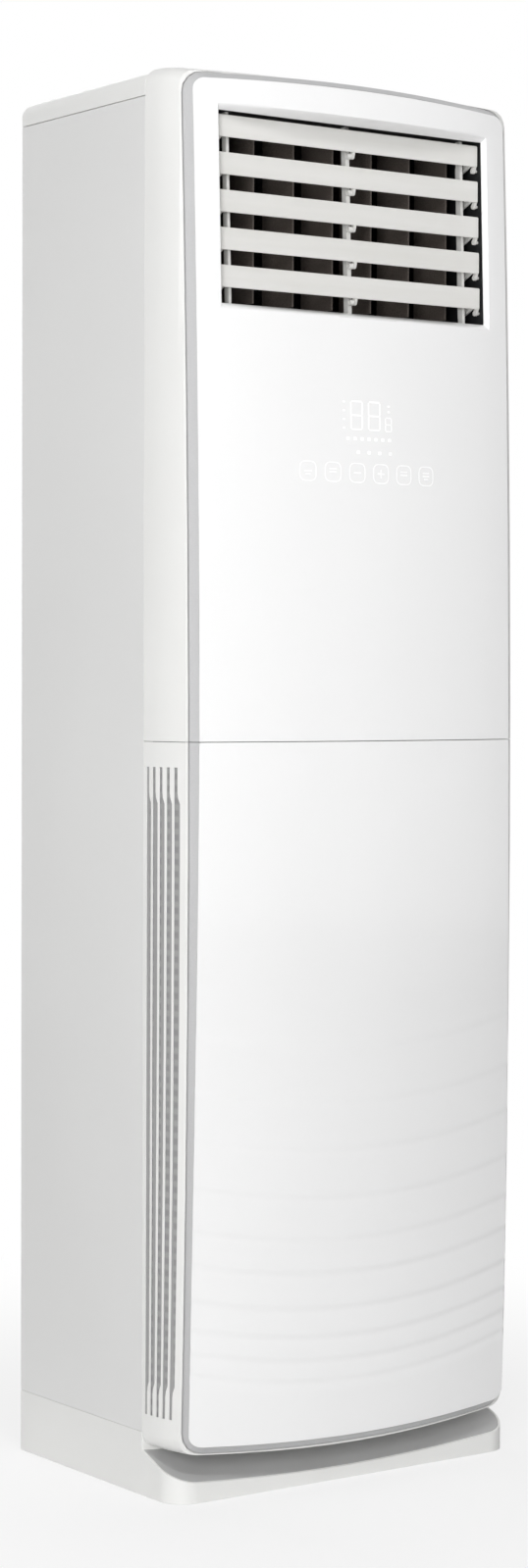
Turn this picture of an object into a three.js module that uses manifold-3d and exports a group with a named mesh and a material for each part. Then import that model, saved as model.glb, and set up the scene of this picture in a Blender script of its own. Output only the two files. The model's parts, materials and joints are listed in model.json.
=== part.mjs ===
// Floor standing air conditioner, in millimetres, +Z up.
// The origin is the middle of the footprint, on the floor. The front faces -Y and +X is to the right
// of someone who looks at the front.
import * as THREE from "three";
import { mergeVertices } from "three/addons/utils/BufferGeometryUtils.js";
import Module from "manifold-3d";

const wasm = await Module();
wasm.setup();

// ---------------------------------------------------------------- driving dimensions

const gap = 0.3; // between pieces that touch
const seam = 0.8; // shadow gap that shows between outer panels

const cabinet = {
  width: 540,
  depth: 405, // rear panel to the foremost point of the bowed face
  sideDepth: 293, // rear face to the upright seam of the front shells
  sheet: 1.2, // painted steel of the side and rear panels
  sheetReturn: 14, // inward flange of a side panel
  sideBottom: 80, // top of the base tray, where the side panels stand
  frontBorder: 27, // gloss panel to the side of the cabinet
  outletBorder: 61.5, // outlet to the side of the cabinet
  coilBorder: 38, // coil to the side of the cabinet
  coverSeam: 1748,
  coverTop: 1778,
  coverRound: 17,
  coverWall: 2.5,
};

const face = {
  planRadius: 1343, // bow seen from above
  sideRadius: 22727, // bow seen from the side
  bowHeight: 800, // height of the foremost point
  halfWidth: cabinet.width / 2 - cabinet.frontBorder, // of the gloss panel
  top: 1765,
  bottom: 62.5,
  topCrown: 5.5, // how much the middle of an edge stands past its ends
  bottomCrown: 9,
  corner: 15,
  wall: 3,
  split: 947.5, // height of the seam between the upper and lower front
  facetWidth: 45, // the bow is built of flat facets of this size
  facetHeight: 200,
};

const trim = {
  width: 11.6, // of the bevelled frame, seen from the front
  fall: 9.5, // how far the bevel drops back over its width
  foot: 3.5, // upright outer edge below the bevel
  lip: 11, // inner ledge that carries the gloss panel
  bottomShare: 0.78, // the frame is this much narrower along the bottom
};

const shell = {
  wall: 3,
  cheekInset: 11, // how far a cheek curves in by its front edge
  rimWall: 2.6, // rim that stands round the trim
  groove: 1.3, // shadow groove between rim and trim
  rimDrop: 9, // the rim lies this far behind the line of the face
  corner: 22,
  topFall: 8, // how far the top of the upper shell drops from the seam to the rim
  seamLip: 3, // wall that closes the top of the upper shell down to the top cover
  pegRadius: 3,
  pegLength: 4, // past the seam
};

const grille = {
  slots: 5,
  openShare: 0.764, // of the pitch
  endShare: 0.6, // the slots are this much narrower near both ends
  firstSlot: 6, // seam to the first slot
  lastLand: 6.2, // last bar to the front rim
  wall: 1.3, // thickness of the bars
  bottom: 104,
  top: 916,
  bottomEnd: 42, // height of the narrow part
  topEnd: 45,
};

const filter = { frame: 3, mesh: 0.8, meshRecess: 0.4, clear: 0.8, edge: 4, bar: 3, firstBar: 170, barPitch: 114.8 };

const outlet = {
  bottom: 1489.5,
  height: 237.5,
  halfWidth: cabinet.width / 2 - cabinet.outletBorder,
  depth: 8, // face to the opening's back edge, at its lower corners
  lean: 0.0353, // the plane of the opening leans back by this slope
  flare: 5, // the collar widens by this at each side
  flareHigh: 7.5, // and by this at the top and bottom
  collarWall: 3,
  frameWall: 3,
  frameDepth: 128,
  postWidth: 6,
  postDepth: 9,
  postBehind: 1.8, // front of a post behind the pivots of the blades
  sidePostWidth: 4,
  sidePostInset: 8, // side post to the middle of a link bar
};

const blade = {
  count: 5,
  height: 27.5,
  thickness: 3,
  curl: 4, // the top edge turns back by this
  endGap: 2,
  topGap: 3.5,
  bottomGap: 20.5,
  setBack: 4.5, // behind the opening's plane
  pivotDrop: 5, // pivot below the lower edge
  pivotBehind: 6, // pivot behind the front of the blade
  lugWidth: 4,
  bossRadius: 3.6,
  pinRadius: 2,
  pinClear: 0.45,
  crank: 18, // link pin behind the pivot
  linkFromEnd: 14.5, // middle of a link bar to the side of the opening
  linkWidth: 3.6,
  linkDepth: 8,
};

const vane = {
  count: 7,
  endMargin: 22.5, // outer vane to the side of the opening
  depth: 68,
  thickness: 2.4,
  pivotFromPlane: 84, // behind the plane of the opening
  pinRadius: 2.5,
  pinClear: 0.45,
  crank: 26,
  linkHeight: 3.6,
  linkDepth: 8,
  floorGap: 9,
  ceilingGap: 4,
};

const stepper = { radius: 14, length: 19, offset: 8, earWidth: 42, earThickness: 1.2, earHeight: 8, socket: 6 };

const base = {
  wall: 3,
  floor: 3,
  depth: 366.8, // rear face to the front of the band
  corner: 35,
  bandMiddle: 15.5, // height of the front band in the middle
  bandRise: 13, // and how much higher it is at the ends
  rampSlope: 0.39,
  rampWall: 2.5,
  ribs: 4,
  railHeight: 30, // cross rails that carry the fan
};

const fan = {
  height: 330, // axis above the floor
  impellerRadius: 160,
  impellerWidth: 104,
  eyeRadius: 122, // inside of the blade ring
  blades: 26,
  bladeThickness: 1.8,
  hubRadius: 30,
  shaftRadius: 6,
  shaftClear: 0.5,
  scrollStart: 178, // smallest radius of the scroll
  sideClear: 18, // side of the cabinet to the widest point of the scroll
  tongueAngle: 68, // degrees from +X
  voluteWall: 2,
  voluteBack: 62, // rear face of the cabinet to the back of the scroll
  voluteDepth: 140,
  inletRadius: 125,
  motorRadius: 52,
};

const deckHeight = 640; // shelf between fan and coil chamber
const deckSheet = 1.5;

const coil = {
  halfWidth: cabinet.width / 2 - cabinet.coilBorder,
  thickness: 44,
  length: 560,
  tilt: 16.2, // degrees from upright
  middleHeight: 1018,
  middleFromBack: 154,
  finPitch: 16,
  finSlot: 7,
  finSlotDepth: 6,
  tubeRadius: 4.8,
  bends: 6,
};

const pan = {
  margin: 26, // past each side of the coil
  height: 46,
  wall: 2.5,
  fall: 10, // slope of the floor towards the spout
  spoutRadius: 8,
  spoutWall: 2,
  spoutLength: 24,
  spoutInset: 30, // spout to the side of the pan
  spoutHeight: 12,
};

const guide = { sideWall: 18, bottom: 1336, backWall: 16, throatFront: 222, roof: 14, round: 40 };

const box = { width: 250, height: 190, depth: 52, wall: 2, left: -190, bottom: 690 };

const display = { height: 1330, halfWidth: 112, halfHeight: 65, board: 1.6, postRadius: 3, edge: 8 };

const pipes = { gasRadius: 8, liquidRadius: 4.8, holeRadius: 36, holeX: -190, holeHeight: 170, nut: 1.7 };

// ---------------------------------------------------------------- derived planes

const half = cabinet.width / 2;
const backY = cabinet.depth / 2;
const frontY = -backY;
const fromBack = (distance) => backY - distance;
const seamY = fromBack(cabinet.sideDepth);
const sideInner = half - cabinet.sheet;
const outletTop = outlet.bottom + outlet.height;
const radians = THREE.MathUtils.degToRad;
const far = 400; // cutters reach this far past a piece

const sag = (offset, radius) => radius - Math.sqrt(radius * radius - offset * offset);
// A rule's value on the straight line between the two nearest stations.
function onFacet(value, step, rule) {
  const low = Math.floor(value / step) * step;
  const share = (value - low) / step;
  return rule(low) * (1 - share) + rule(low + step) * share;
}
// The bowed surface of the gloss face. All that follows it shares its facets, so the pieces nest.
const planSag = (x) => onFacet(x, face.facetWidth, (t) => sag(t, face.planRadius));
const sideSag = (z) => onFacet(z, face.facetHeight, (t) => sag(t - face.bowHeight, face.sideRadius));
const faceY = (x, z) => frontY + planSag(x) + sideSag(z);
// The flat, slightly leaning plane at the back of the outlet collar.
const openingY = (z) => faceY(outlet.halfWidth, outlet.bottom) + outlet.depth + (z - outlet.bottom) * outlet.lean;

const pegHeights = [210, 520, 850];
const upperPegHeights = [1050, 1330, 1640];
const pegX = sideInner - cabinet.sheetReturn / 2;

const webFront = trim.fall + trim.foot + gap; // the web lies this far behind the face
const webBack = webFront + shell.wall;
const webWindow = outlet.flare + outlet.collarWall + 4; // clearance of the web round the collar

const frameFront = openingY(outlet.bottom) + gap;
const frameBack = frameFront + outlet.frameDepth;
const frameHalf = outlet.halfWidth + 1;
const bladePitch = (outlet.height - blade.topGap - blade.bottomGap - blade.height) / (blade.count - 1);
const pivotZ = (i) => outlet.bottom + blade.bottomGap - blade.pivotDrop + i * bladePitch;
const pivotY = (i) => openingY(pivotZ(i)) + blade.setBack + blade.pivotBehind;
const linkX = outlet.halfWidth - blade.linkFromEnd;
const holeRadius = blade.pinRadius + blade.pinClear;
const vanePivotY = openingY(outlet.bottom) + vane.pivotFromPlane;
const vanePitch = (2 * (outlet.halfWidth - vane.endMargin)) / (vane.count - 1);
const vaneX = (i) => (i - (vane.count - 1) / 2) * vanePitch;
const vaneLow = outlet.bottom + vane.floorGap;
const vaneHigh = outletTop - vane.ceilingGap;
const middleBlade = (blade.count - 1) / 2;
const middleVane = (vane.count - 1) / 2;
const vaneLinkZ = outlet.bottom + 2;

const voluteBackY = fromBack(fan.voluteBack);
const voluteFrontY = voluteBackY - fan.voluteDepth;
const impellerBackY = voluteBackY - 14;
const motorFrontY = impellerBackY + 12;
// How much the scroll opens on its way round.
const scrollGrowth = half - fan.sideClear - fan.scrollStart;

// The display board stays clear of the face panel where that curves back furthest.
const displayOffset = face.wall + planSag(display.halfWidth) + 1;

const chamberFrontY = fromBack(cabinet.sideDepth - 6);
const sheetRear = backY - cabinet.sheet - 8; // clear of the swages of the rear panel
const shelfHalf = sideInner - gap;

// ---------------------------------------------------------------- shape helpers

function solid(geometry) {
  const bare = geometry.index ? geometry.toNonIndexed() : geometry.clone();
  bare.deleteAttribute("normal");
  bare.deleteAttribute("uv");
  const merged = mergeVertices(bare, 1e-4);
  return new wasm.Manifold(
    new wasm.Mesh({
      numProp: 3,
      vertProperties: merged.attributes.position.array,
      triVerts: new Uint32Array(merged.index.array),
    }),
  );
}

function geometryOf(body) {
  const made = body.getMesh();
  const corners = new Float32Array(made.numVert * 3);
  for (let i = 0; i < made.numVert; i += 1) {
    corners.set(made.vertProperties.subarray(i * made.numProp, i * made.numProp + 3), i * 3);
  }
  const geometry = new THREE.BufferGeometry();
  geometry.setAttribute("position", new THREE.BufferAttribute(corners, 3));
  geometry.setIndex(new THREE.BufferAttribute(made.triVerts, 1));
  const flat = geometry.toNonIndexed();
  flat.computeVertexNormals();
  return flat;
}

const union = (bodies) => bodies.reduce((sum, body) => sum.add(body));
const shapeOf = (points) => new THREE.Shape(points.map(([a, b]) => new THREE.Vector2(a, b)));

function extrusion(shape, length, steps) {
  return new THREE.ExtrudeGeometry(shape, { depth: length, steps, bevelEnabled: false, curveSegments: 4 });
}

// A plan shape (x, y) between two heights.
function alongZ(shape, z0, z1, steps = 1) {
  return extrusion(shape, z1 - z0, steps).translate(0, 0, z0);
}

// A front view shape (x, z) between two depths.
function alongY(shape, y0, y1, steps = 1) {
  return extrusion(shape, y1 - y0, steps).rotateX(Math.PI / 2).translate(0, y1, 0);
}

// A side view shape (y, z) between two widths.
function alongX(shape, x0, x1, steps = 1) {
  const turn = new THREE.Matrix4().makeBasis(
    new THREE.Vector3(0, 1, 0),
    new THREE.Vector3(0, 0, 1),
    new THREE.Vector3(1, 0, 0),
  );
  return extrusion(shape, x1 - x0, steps).applyMatrix4(turn).translate(x0, 0, 0);
}

// A block between two corners.
function block(x0, x1, y0, y1, z0, z1) {
  const geometry = new THREE.BoxGeometry(x1 - x0, y1 - y0, z1 - z0);
  return solid(geometry.translate((x0 + x1) / 2, (y0 + y1) / 2, (z0 + z1) / 2));
}

// A round bar along one axis ("x", "y" or "z") from a point, towards plus.
function bar(axis, radius, length, x, y, z, sides = 8) {
  const geometry = new THREE.CylinderGeometry(radius, radius, length, sides);
  geometry.translate(0, length / 2, 0);
  if (axis === "x") {
    geometry.rotateZ(-Math.PI / 2);
  }
  if (axis === "z") {
    geometry.rotateX(Math.PI / 2);
  }
  return solid(geometry.translate(x, y, z));
}

// An open polyline thickened to its left, as bent sheet is.
function ribbon(points, thickness) {
  const line = points.map(([a, b]) => new THREE.Vector2(a, b));
  const normalOf = (p, q) => new THREE.Vector2(p.y - q.y, q.x - p.x).normalize();
  const moved = line.map((point, i) => {
    const before = i > 0 ? normalOf(line[i - 1], point) : normalOf(point, line[i + 1]);
    const after = i < line.length - 1 ? normalOf(point, line[i + 1]) : before;
    const mitre = before.clone().add(after).normalize();
    return point.clone().addScaledVector(mitre, thickness / mitre.dot(before));
  });
  return new THREE.Shape([...line, ...moved.reverse()]);
}

// A rectangle with chosen corner radii, listed from the lower left one anticlockwise.
function roundedRect(x0, y0, x1, y1, radii) {
  const [r0, r1, r2, r3] = radii;
  const shape = new THREE.Shape();
  shape.moveTo(x0 + r0, y0);
  shape.lineTo(x1 - r1, y0);
  if (r1 > 0) shape.absarc(x1 - r1, y0 + r1, r1, -Math.PI / 2, 0);
  shape.lineTo(x1, y1 - r2);
  if (r2 > 0) shape.absarc(x1 - r2, y1 - r2, r2, 0, Math.PI / 2);
  shape.lineTo(x0 + r3, y1);
  if (r3 > 0) shape.absarc(x0 + r3, y1 - r3, r3, Math.PI / 2, Math.PI);
  shape.lineTo(x0, y0 + r0);
  if (r0 > 0) shape.absarc(x0 + r0, y0 + r0, r0, Math.PI, 1.5 * Math.PI);
  return shape;
}

// Moves each corner of a geometry by a rule.
function mapPoints(geometry, rule) {
  const place = geometry.attributes.position;
  const point = new THREE.Vector3();
  for (let i = 0; i < place.count; i += 1) {
    rule(point.fromBufferAttribute(place, i));
    place.setXYZ(i, point.x, point.y, point.z);
  }
  return geometry;
}

// A grid of the face's facets, with its front and rear moved by a rule each.
function facetGrid(halfColumns, frontRule, rearRule) {
  const rows = Math.ceil((cabinet.coverTop + 1) / face.facetHeight);
  const width = 2 * halfColumns * face.facetWidth;
  const height = rows * face.facetHeight;
  const grid = new THREE.BoxGeometry(width, 2, height, 2 * halfColumns, 1, rows);
  grid.translate(0, 0, height / 2);
  return solid(mapPoints(grid, (p) => {
    p.y = p.y < 0 ? frontRule(p.x, p.z) : rearRule(p.x, p.z);
  }));
}

const halfFacets = Math.ceil(half / face.facetWidth);

// All that lies behind the bowed face, from an offset behind it back to a flat plane.
const behindFace = (offset, rearY) => facetGrid(halfFacets + 1, (x, z) => faceY(x, z) + offset, () => rearY);

// A skin that follows the bowed face.
const faceSkin = () => facetGrid(halfFacets, faceY, (x, z) => faceY(x, z) + face.wall);

const topCrown = (x) => -face.topCrown * (x / face.halfWidth) ** 2;
const bottomCrown = (x) => face.bottomCrown * (x / face.halfWidth) ** 2;

// A closed outline in the front view with crowned long edges and round corners, which turns anticlockwise
// from the lower right. Its points lie on the stations of the facets.
function crownedOutline(wide, low, high, round) {
  const points = [];
  const cornerX = wide - round;
  const topAt = (x) => high + topCrown(x);
  const bottomAt = (x) => low + bottomCrown(x);
  const topCorner = topAt(cornerX) - round;
  const bottomCorner = bottomAt(cornerX) + round;
  const steps = 4;
  const corner = (x, z, start) => {
    for (let i = 0; i <= steps; i += 1) {
      const angle = start + ((Math.PI / 2) * i) / steps;
      points.push([x + round * Math.cos(angle), z + round * Math.sin(angle)]);
    }
  };
  const stations = (low, high, step) => {
    const list = [];
    for (let t = Math.ceil(low / step + 0.05) * step; t < high - 0.05 * step; t += step) list.push(t);
    return list;
  };
  const heights = stations(bottomCorner, topCorner, face.facetHeight);
  const widths = stations(-cornerX, cornerX, face.facetWidth);
  heights.forEach((z) => points.push([wide, z]));
  corner(cornerX, topCorner, 0);
  [...widths].reverse().forEach((x) => points.push([x, topAt(x)]));
  corner(-cornerX, topCorner, Math.PI / 2);
  [...heights].reverse().forEach((z) => points.push([-wide, z]));
  corner(-cornerX, bottomCorner, Math.PI);
  widths.forEach((x) => points.push([x, bottomAt(x)]));
  corner(cornerX, bottomCorner, 1.5 * Math.PI);
  return points;
}

// The outline of the face, grown by a margin.
const faceOutline = (margin) => crownedOutline(
  face.halfWidth + margin,
  face.bottom - margin * trim.bottomShare,
  face.top + margin,
  Math.max(face.corner + margin, 4),
);

const outlinePrism = (margin) => solid(alongY(shapeOf(faceOutline(margin)), frontY - far, backY + far));

// A closed ring whose cross-sections are lists of points of equal length.
function ringLoft(sections) {
  const rows = sections.length;
  const across = sections[0].length;
  const corners = sections.flat();
  const index = [];
  for (let i = 0; i < rows; i += 1) {
    for (let j = 0; j < across; j += 1) {
      const a = i * across + j;
      const b = i * across + ((j + 1) % across);
      const c = ((i + 1) % rows) * across + ((j + 1) % across);
      const d = ((i + 1) % rows) * across + j;
      index.push(a, b, c, a, c, d);
    }
  }
  const geometry = new THREE.BufferGeometry().setFromPoints(corners);
  geometry.setIndex(index);
  return solid(geometry);
}

const aboveSplit = () => block(-half - far, half + far, -far, far, face.split + seam / 2, cabinet.coverTop + far);
const belowSplit = () => block(-half - far, half + far, -far, far, -far, face.split - seam / 2);

// ---------------------------------------------------------------- scene graph

const cabinetGroup = new THREE.Group();
cabinetGroup.name = "floor_standing_air_conditioner";

const finish = (color, roughness, metalness = 0) => new THREE.MeshStandardMaterial({ color, roughness, metalness });
const finishes = {
  paintedSteel: () => finish(0xe9e9e8, 0.45),
  whitePlastic: () => finish(0xf0f0ef, 0.4),
  glossWhite: () => finish(0xf8f8f8, 0.08),
  silverTrim: () => finish(0xcfcfd0, 0.35, 0.2),
  greyPlastic: () => finish(0xa6a6a6, 0.55),
  bladePlastic: () => finish(0xe2e1de, 0.5),
  darkPlastic: () => finish(0x3a3c3c, 0.7),
  galvanised: () => finish(0xb8bcbe, 0.5, 0.8),
  foam: () => finish(0x2b2b2b, 0.95),
  copper: () => finish(0xb87333, 0.35, 1),
  aluminium: () => finish(0xd0d3d6, 0.4, 0.9),
  board: () => finish(0x2f6b3c, 0.6),
  mesh: () => finish(0x8a8a8a, 0.8),
  motorBlack: () => finish(0x26282a, 0.5, 0.4),
};

function add(name, body, material, parent = cabinetGroup) {
  const mesh = new THREE.Mesh(geometryOf(body), material);
  mesh.name = name;
  parent.add(mesh);
  return mesh;
}

// ---------------------------------------------------------------- base

function basePlan(inset) {
  const wide = half - inset;
  const round = Math.max(base.corner - inset, 1);
  return roundedRect(-wide, fromBack(base.depth) + inset, wide, backY - inset, [round, round, 0, 0]);
}

const rampZ = (x, y) =>
  base.bandMiddle + base.bandRise * (x / half) ** 2 + base.rampSlope * (y - fromBack(base.depth));

// The space between two sheets that follow the ramp, in front of the seam. A flat sheet is given as a height.
function rampLayer(low, high) {
  const rear = seamY + gap;
  const front = fromBack(base.depth) - 20;
  const grid = new THREE.BoxGeometry(cabinet.width + 20, rear - front, 2, 12, 1, 1);
  grid.translate(0, (rear + front) / 2, 0);
  return solid(mapPoints(grid, (p) => {
    p.z = p.z < 0 ? low(p.x, p.y) : high(p.x, p.y);
  }));
}

function baseTray() {
  const outer = solid(alongZ(basePlan(0), 0, cabinet.sideBottom));
  const inner = solid(alongZ(basePlan(base.wall), base.floor, cabinet.sideBottom + far));
  const crossWall = block(-half + 1, half - 1, seamY + gap, seamY + gap + base.wall, 1, cabinet.sideBottom);
  const ribs = [];
  for (let i = 0; i < base.ribs; i += 1) {
    const x = half * ((2 * i + 1) / base.ribs - 1);
    ribs.push(block(x - base.wall / 2, x + base.wall / 2, fromBack(base.depth) + 1, seamY + 1, 1, far));
  }
  const underRamp = rampLayer(() => -1, (x, y) => rampZ(x, y) - base.rampWall - gap);
  const overRamp = rampLayer(rampZ, () => far);
  const stiffeners = union(ribs).intersect(underRamp);
  const rails = [voluteFrontY + 12, voluteBackY - 12 - base.wall].map((y) => (
    block(-half + 1, half - 1, y, y + base.wall, 1, base.railHeight)
  ));
  return outer.subtract(inner).add(crossWall).add(stiffeners).add(union(rails)).subtract(overRamp);
}

function kickRamp() {
  const inset = base.wall + gap;
  const plan = solid(alongZ(basePlan(inset), 0, far));
  return rampLayer((x, y) => rampZ(x, y) - base.rampWall, rampZ).intersect(plan);
}

add("base_tray", baseTray(), finishes.whitePlastic());
add("kick_ramp", kickRamp(), finishes.greyPlastic());

// ---------------------------------------------------------------- sheet metal case

function sidePanel(sign) {
  const rear = backY - cabinet.sheet - gap;
  const front = seamY + gap;
  const turn = cabinet.sheetReturn;
  const line = [
    [half - turn, rear],
    [half, rear],
    [half, front],
    [half - turn, front],
  ];
  const bottom = cabinet.sideBottom + gap;
  const top = cabinet.coverSeam - seam / 2;
  let panel = solid(alongZ(ribbon(line.reverse(), cabinet.sheet), bottom, top));
  for (const height of [...pegHeights, ...upperPegHeights]) {
    const hole = bar("y", shell.pegRadius + 2 * gap, 20, pegX, front - 10, height);
    panel = panel.subtract(hole);
  }
  return sign < 0 ? panel.mirror([1, 0, 0]) : panel;
}

function rearPanel() {
  const swage = { middle: 130, wide: 60, slope: 10, deep: 6 };
  const wide = half - 0.2;
  const lines = (sign) => [
    [sign * (swage.middle + swage.wide / 2 + swage.slope), backY],
    [sign * (swage.middle + swage.wide / 2), backY - swage.deep],
    [sign * (swage.middle - swage.wide / 2), backY - swage.deep],
    [sign * (swage.middle - swage.wide / 2 - swage.slope), backY],
  ];
  const line = [[wide, backY], ...lines(1), ...lines(-1).reverse(), [-wide, backY]];
  const bottom = cabinet.sideBottom + gap;
  const top = cabinet.coverSeam - seam / 2;
  const sheet = solid(alongZ(ribbon(line, cabinet.sheet), bottom, top));
  const land = pipes.holeRadius + 14;
  const pad = block(pipes.holeX - land, pipes.holeX + land, backY - cabinet.sheet, backY, bottom, pipes.holeHeight + land);
  const cut = block(
    pipes.holeX - land, pipes.holeX + land, backY - 20, backY - cabinet.sheet, bottom - 1, pipes.holeHeight + land,
  );
  const hole = bar("y", pipes.holeRadius + 0.5, 30, pipes.holeX, backY - 20, pipes.holeHeight, 24);
  return sheet.subtract(cut).add(pad).subtract(hole);
}

function topCover() {
  const make = (inset, frontGap) => {
    const wide = half - inset;
    const round = cabinet.coverRound - inset;
    const low = cabinet.coverSeam + seam / 2 - (inset > 0 ? 5 : 0);
    const high = cabinet.coverTop - inset;
    const frontView = roundedRect(-wide, low, wide, high, [0, 0, round, round]);
    const sideView = roundedRect(seamY + frontGap, low, backY - inset, high, [0, 0, round, 0]);
    return solid(alongY(frontView, -far, far)).intersect(solid(alongX(sideView, -far, far)));
  };
  return make(0, seam / 2).subtract(make(cabinet.coverWall, -50));
}

// A disc that fills the pipe hole, with a lip behind the sheet.
function pipePlug() {
  const lip = 5;
  const seat = cabinet.sheet + gap;
  const profile = [
    [0, 0],
    [pipes.holeRadius - gap, 0],
    [pipes.holeRadius - gap, seat],
    [pipes.holeRadius + lip, seat],
    [pipes.holeRadius + lip, seat + 2],
    [0, seat + 2],
  ].map(([radius, depth]) => new THREE.Vector2(radius, depth));
  const plug = new THREE.LatheGeometry(profile, 24);
  return solid(plug.rotateZ(Math.PI).translate(pipes.holeX, backY, pipes.holeHeight));
}

add("side_panel_left", sidePanel(-1), finishes.paintedSteel());
add("side_panel_right", sidePanel(1), finishes.paintedSteel());
add("rear_panel", rearPanel(), finishes.paintedSteel());
add("top_cover", topCover(), finishes.whitePlastic());
add("pipe_hole_plug", pipePlug(), finishes.darkPlastic());

// ---------------------------------------------------------------- front shells

const rimY = (z) => faceY(half - shell.cheekInset, z) + shell.rimDrop;
// How deep a cheek is at a height, against its depth where the front is foremost.
const cheekScale = (z) => (seamY - rimY(z)) / (seamY - rimY(face.bowHeight));
const cheekY = (distance, z) => seamY - distance * cheekScale(z);
const cheekDepth = seamY - rimY(face.bowHeight);
const cheekInsetAt = (distance) => shell.cheekInset * (distance / cheekDepth) ** 2;

const slotPitch = (cheekDepth - grille.firstSlot - grille.lastLand) / grille.slots;
const slotWidth = slotPitch * grille.openShare;
// The filter covers the slots with a margin.
const filterFirst = grille.firstSlot - 1;
const filterLast = grille.firstSlot + (grille.slots - 1) * slotPitch + slotWidth + 0.5;
const filterLow = grille.bottom - 6;
const filterHigh = grille.top + 6;

const shellMargin = trim.width + shell.groove + shell.rimWall;

// The outside of both shells with their curved cheeks, drawn in by an inset and built in steps of depth.
function shellBlock(inset, step) {
  const wide = half - inset;
  const low = face.bottom - shellMargin * trim.bottomShare + inset;
  const high = face.top + shellMargin + shell.topFall - inset;
  const outline = shapeOf(crownedOutline(wide, low, high, shell.corner - inset));
  const steps = Math.ceil((seamY - frontY) / step) + 1;
  const prism = alongY(outline, seamY + step - steps * step, seamY + step, steps);
  return solid(mapPoints(prism, (p) => {
    const distance = Math.max(seamY - p.y, 0) / cheekScale(p.z);
    p.x *= (wide - cheekInsetAt(distance)) / wide;
    const share = Math.max((p.z - face.split) / (high - face.split), 0);
    p.z -= shell.topFall * share * (distance / cheekDepth) ** 2;
  }));
}

function wholeShell() {
  const outside = shellBlock(0, 20).intersect(behindFace(shell.rimDrop, seamY - seam / 2));
  const pocket = outlinePrism(trim.width + shell.groove).subtract(behindFace(webFront, backY));
  const lip = block(-half, half, seamY - shell.seamLip, backY, cabinet.coverTop - 8, cabinet.coverTop + far);
  const hollow = shellBlock(shell.wall, 40).intersect(behindFace(webBack, backY)).subtract(lip);
  return outside.subtract(pocket).subtract(hollow);
}

// Pegs on the rear edge of a shell, which push into the side panels' front flanges.
function shellPegs(heights) {
  const pegs = [];
  for (const sign of [-1, 1]) {
    for (const height of heights) {
      const x = sign * pegX;
      const inner = Math.min(x, sign * (half - 1));
      const outer = Math.max(x, sign * (half - 1));
      pegs.push(block(inner, outer, seamY - 4, seamY - 1, height - 4, height + 4));
      pegs.push(bar("y", shell.pegRadius, shell.pegLength + 2, x, seamY - 2, height));
    }
  }
  return union(pegs);
}

// One intake slot in the side view. Its rear edge is straight and its front edge steps out to full width.
function slotShape(index) {
  const rear = grille.firstSlot + index * slotPitch;
  const endSlotWidth = slotWidth * grille.endShare;
  const { bottom, top } = grille;
  const wideLow = bottom + grille.bottomEnd;
  const wideHigh = top - grille.topEnd;
  const blend = 14;
  const nearEnd = endSlotWidth + (slotWidth - endSlotWidth) / 4;
  const stations = [200, 400, 600, 800];
  const front = [
    [bottom, endSlotWidth],
    [wideLow - blend, endSlotWidth],
    [wideLow - blend / 2, nearEnd],
    [wideLow, slotWidth],
    ...stations.map((z) => [z, slotWidth]),
    [wideHigh, slotWidth],
    [wideHigh + blend / 2, nearEnd],
    [wideHigh + blend, endSlotWidth],
    [top, endSlotWidth],
  ];
  const back = [top, ...stations.reverse(), bottom];
  return shapeOf([
    ...front.map(([z, wide]) => [cheekY(rear + wide, z), z]),
    ...back.map((z) => [cheekY(rear, z), z]),
  ]);
}

// Behind the slots the cheek is thinned, so that its bars are slim and the filter stands close to them.
function filterPocket() {
  const stations = [filterLow - filter.clear, 200, 400, 600, 800, filterHigh + filter.clear];
  const outline = shapeOf([
    ...stations.map((z) => [cheekY(filterLast + filter.clear / 2, z), z]),
    ...[...stations].reverse().map((z) => [cheekY(filterFirst - filter.clear, z), z]),
  ]);
  return solid(alongX(outline, half - 30, half)).intersect(shellBlock(grille.wall, 20));
}

function lowerShell() {
  const near = half - shell.cheekInset - shell.wall - 2;
  const pocket = filterPocket();
  const slots = [pocket, pocket.mirror([1, 0, 0])];
  for (let i = 0; i < grille.slots; i += 1) {
    const slot = solid(alongX(slotShape(i), near, half + 5));
    slots.push(slot, slot.mirror([1, 0, 0]));
  }
  return wholeShell().intersect(belowSplit()).add(shellPegs(pegHeights)).subtract(union(slots));
}

function upperShell() {
  const wide = outlet.halfWidth + webWindow;
  const window = roundedRect(
    -wide, outlet.bottom - outlet.flareHigh - webWindow, wide, outletTop + outlet.flareHigh + webWindow, [6, 6, 6, 6],
  );
  const opening = solid(alongY(window, -far, seamY));
  // The web is notched for the motor of the blades.
  const motorZ = pivotZ(middleBlade);
  const tall = stepper.earWidth / 2 + 2;
  const notch = block(-wide - stepper.length, 0, -far, seamY - 20, motorZ - tall, motorZ + tall);
  return wholeShell().intersect(aboveSplit()).add(shellPegs(upperPegHeights)).subtract(opening).subtract(notch);
}

// The bevelled frame that holds the gloss panels.
function wholeTrim() {
  const inner = faceOutline(gap);
  const outer = faceOutline(trim.width);
  const ledge = faceOutline(-trim.lip);
  const at = ([x, z], offset) => new THREE.Vector3(x, faceY(x, z) + offset, z);
  const sections = inner.map((point, i) => [
    at(point, 0),
    at(outer[i], trim.fall),
    at(outer[i], trim.fall + trim.foot),
    at(ledge[i], trim.fall + trim.foot),
    at(ledge[i], face.wall + gap),
    at(point, face.wall + gap),
  ]);
  return ringLoft(sections);
}

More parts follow.
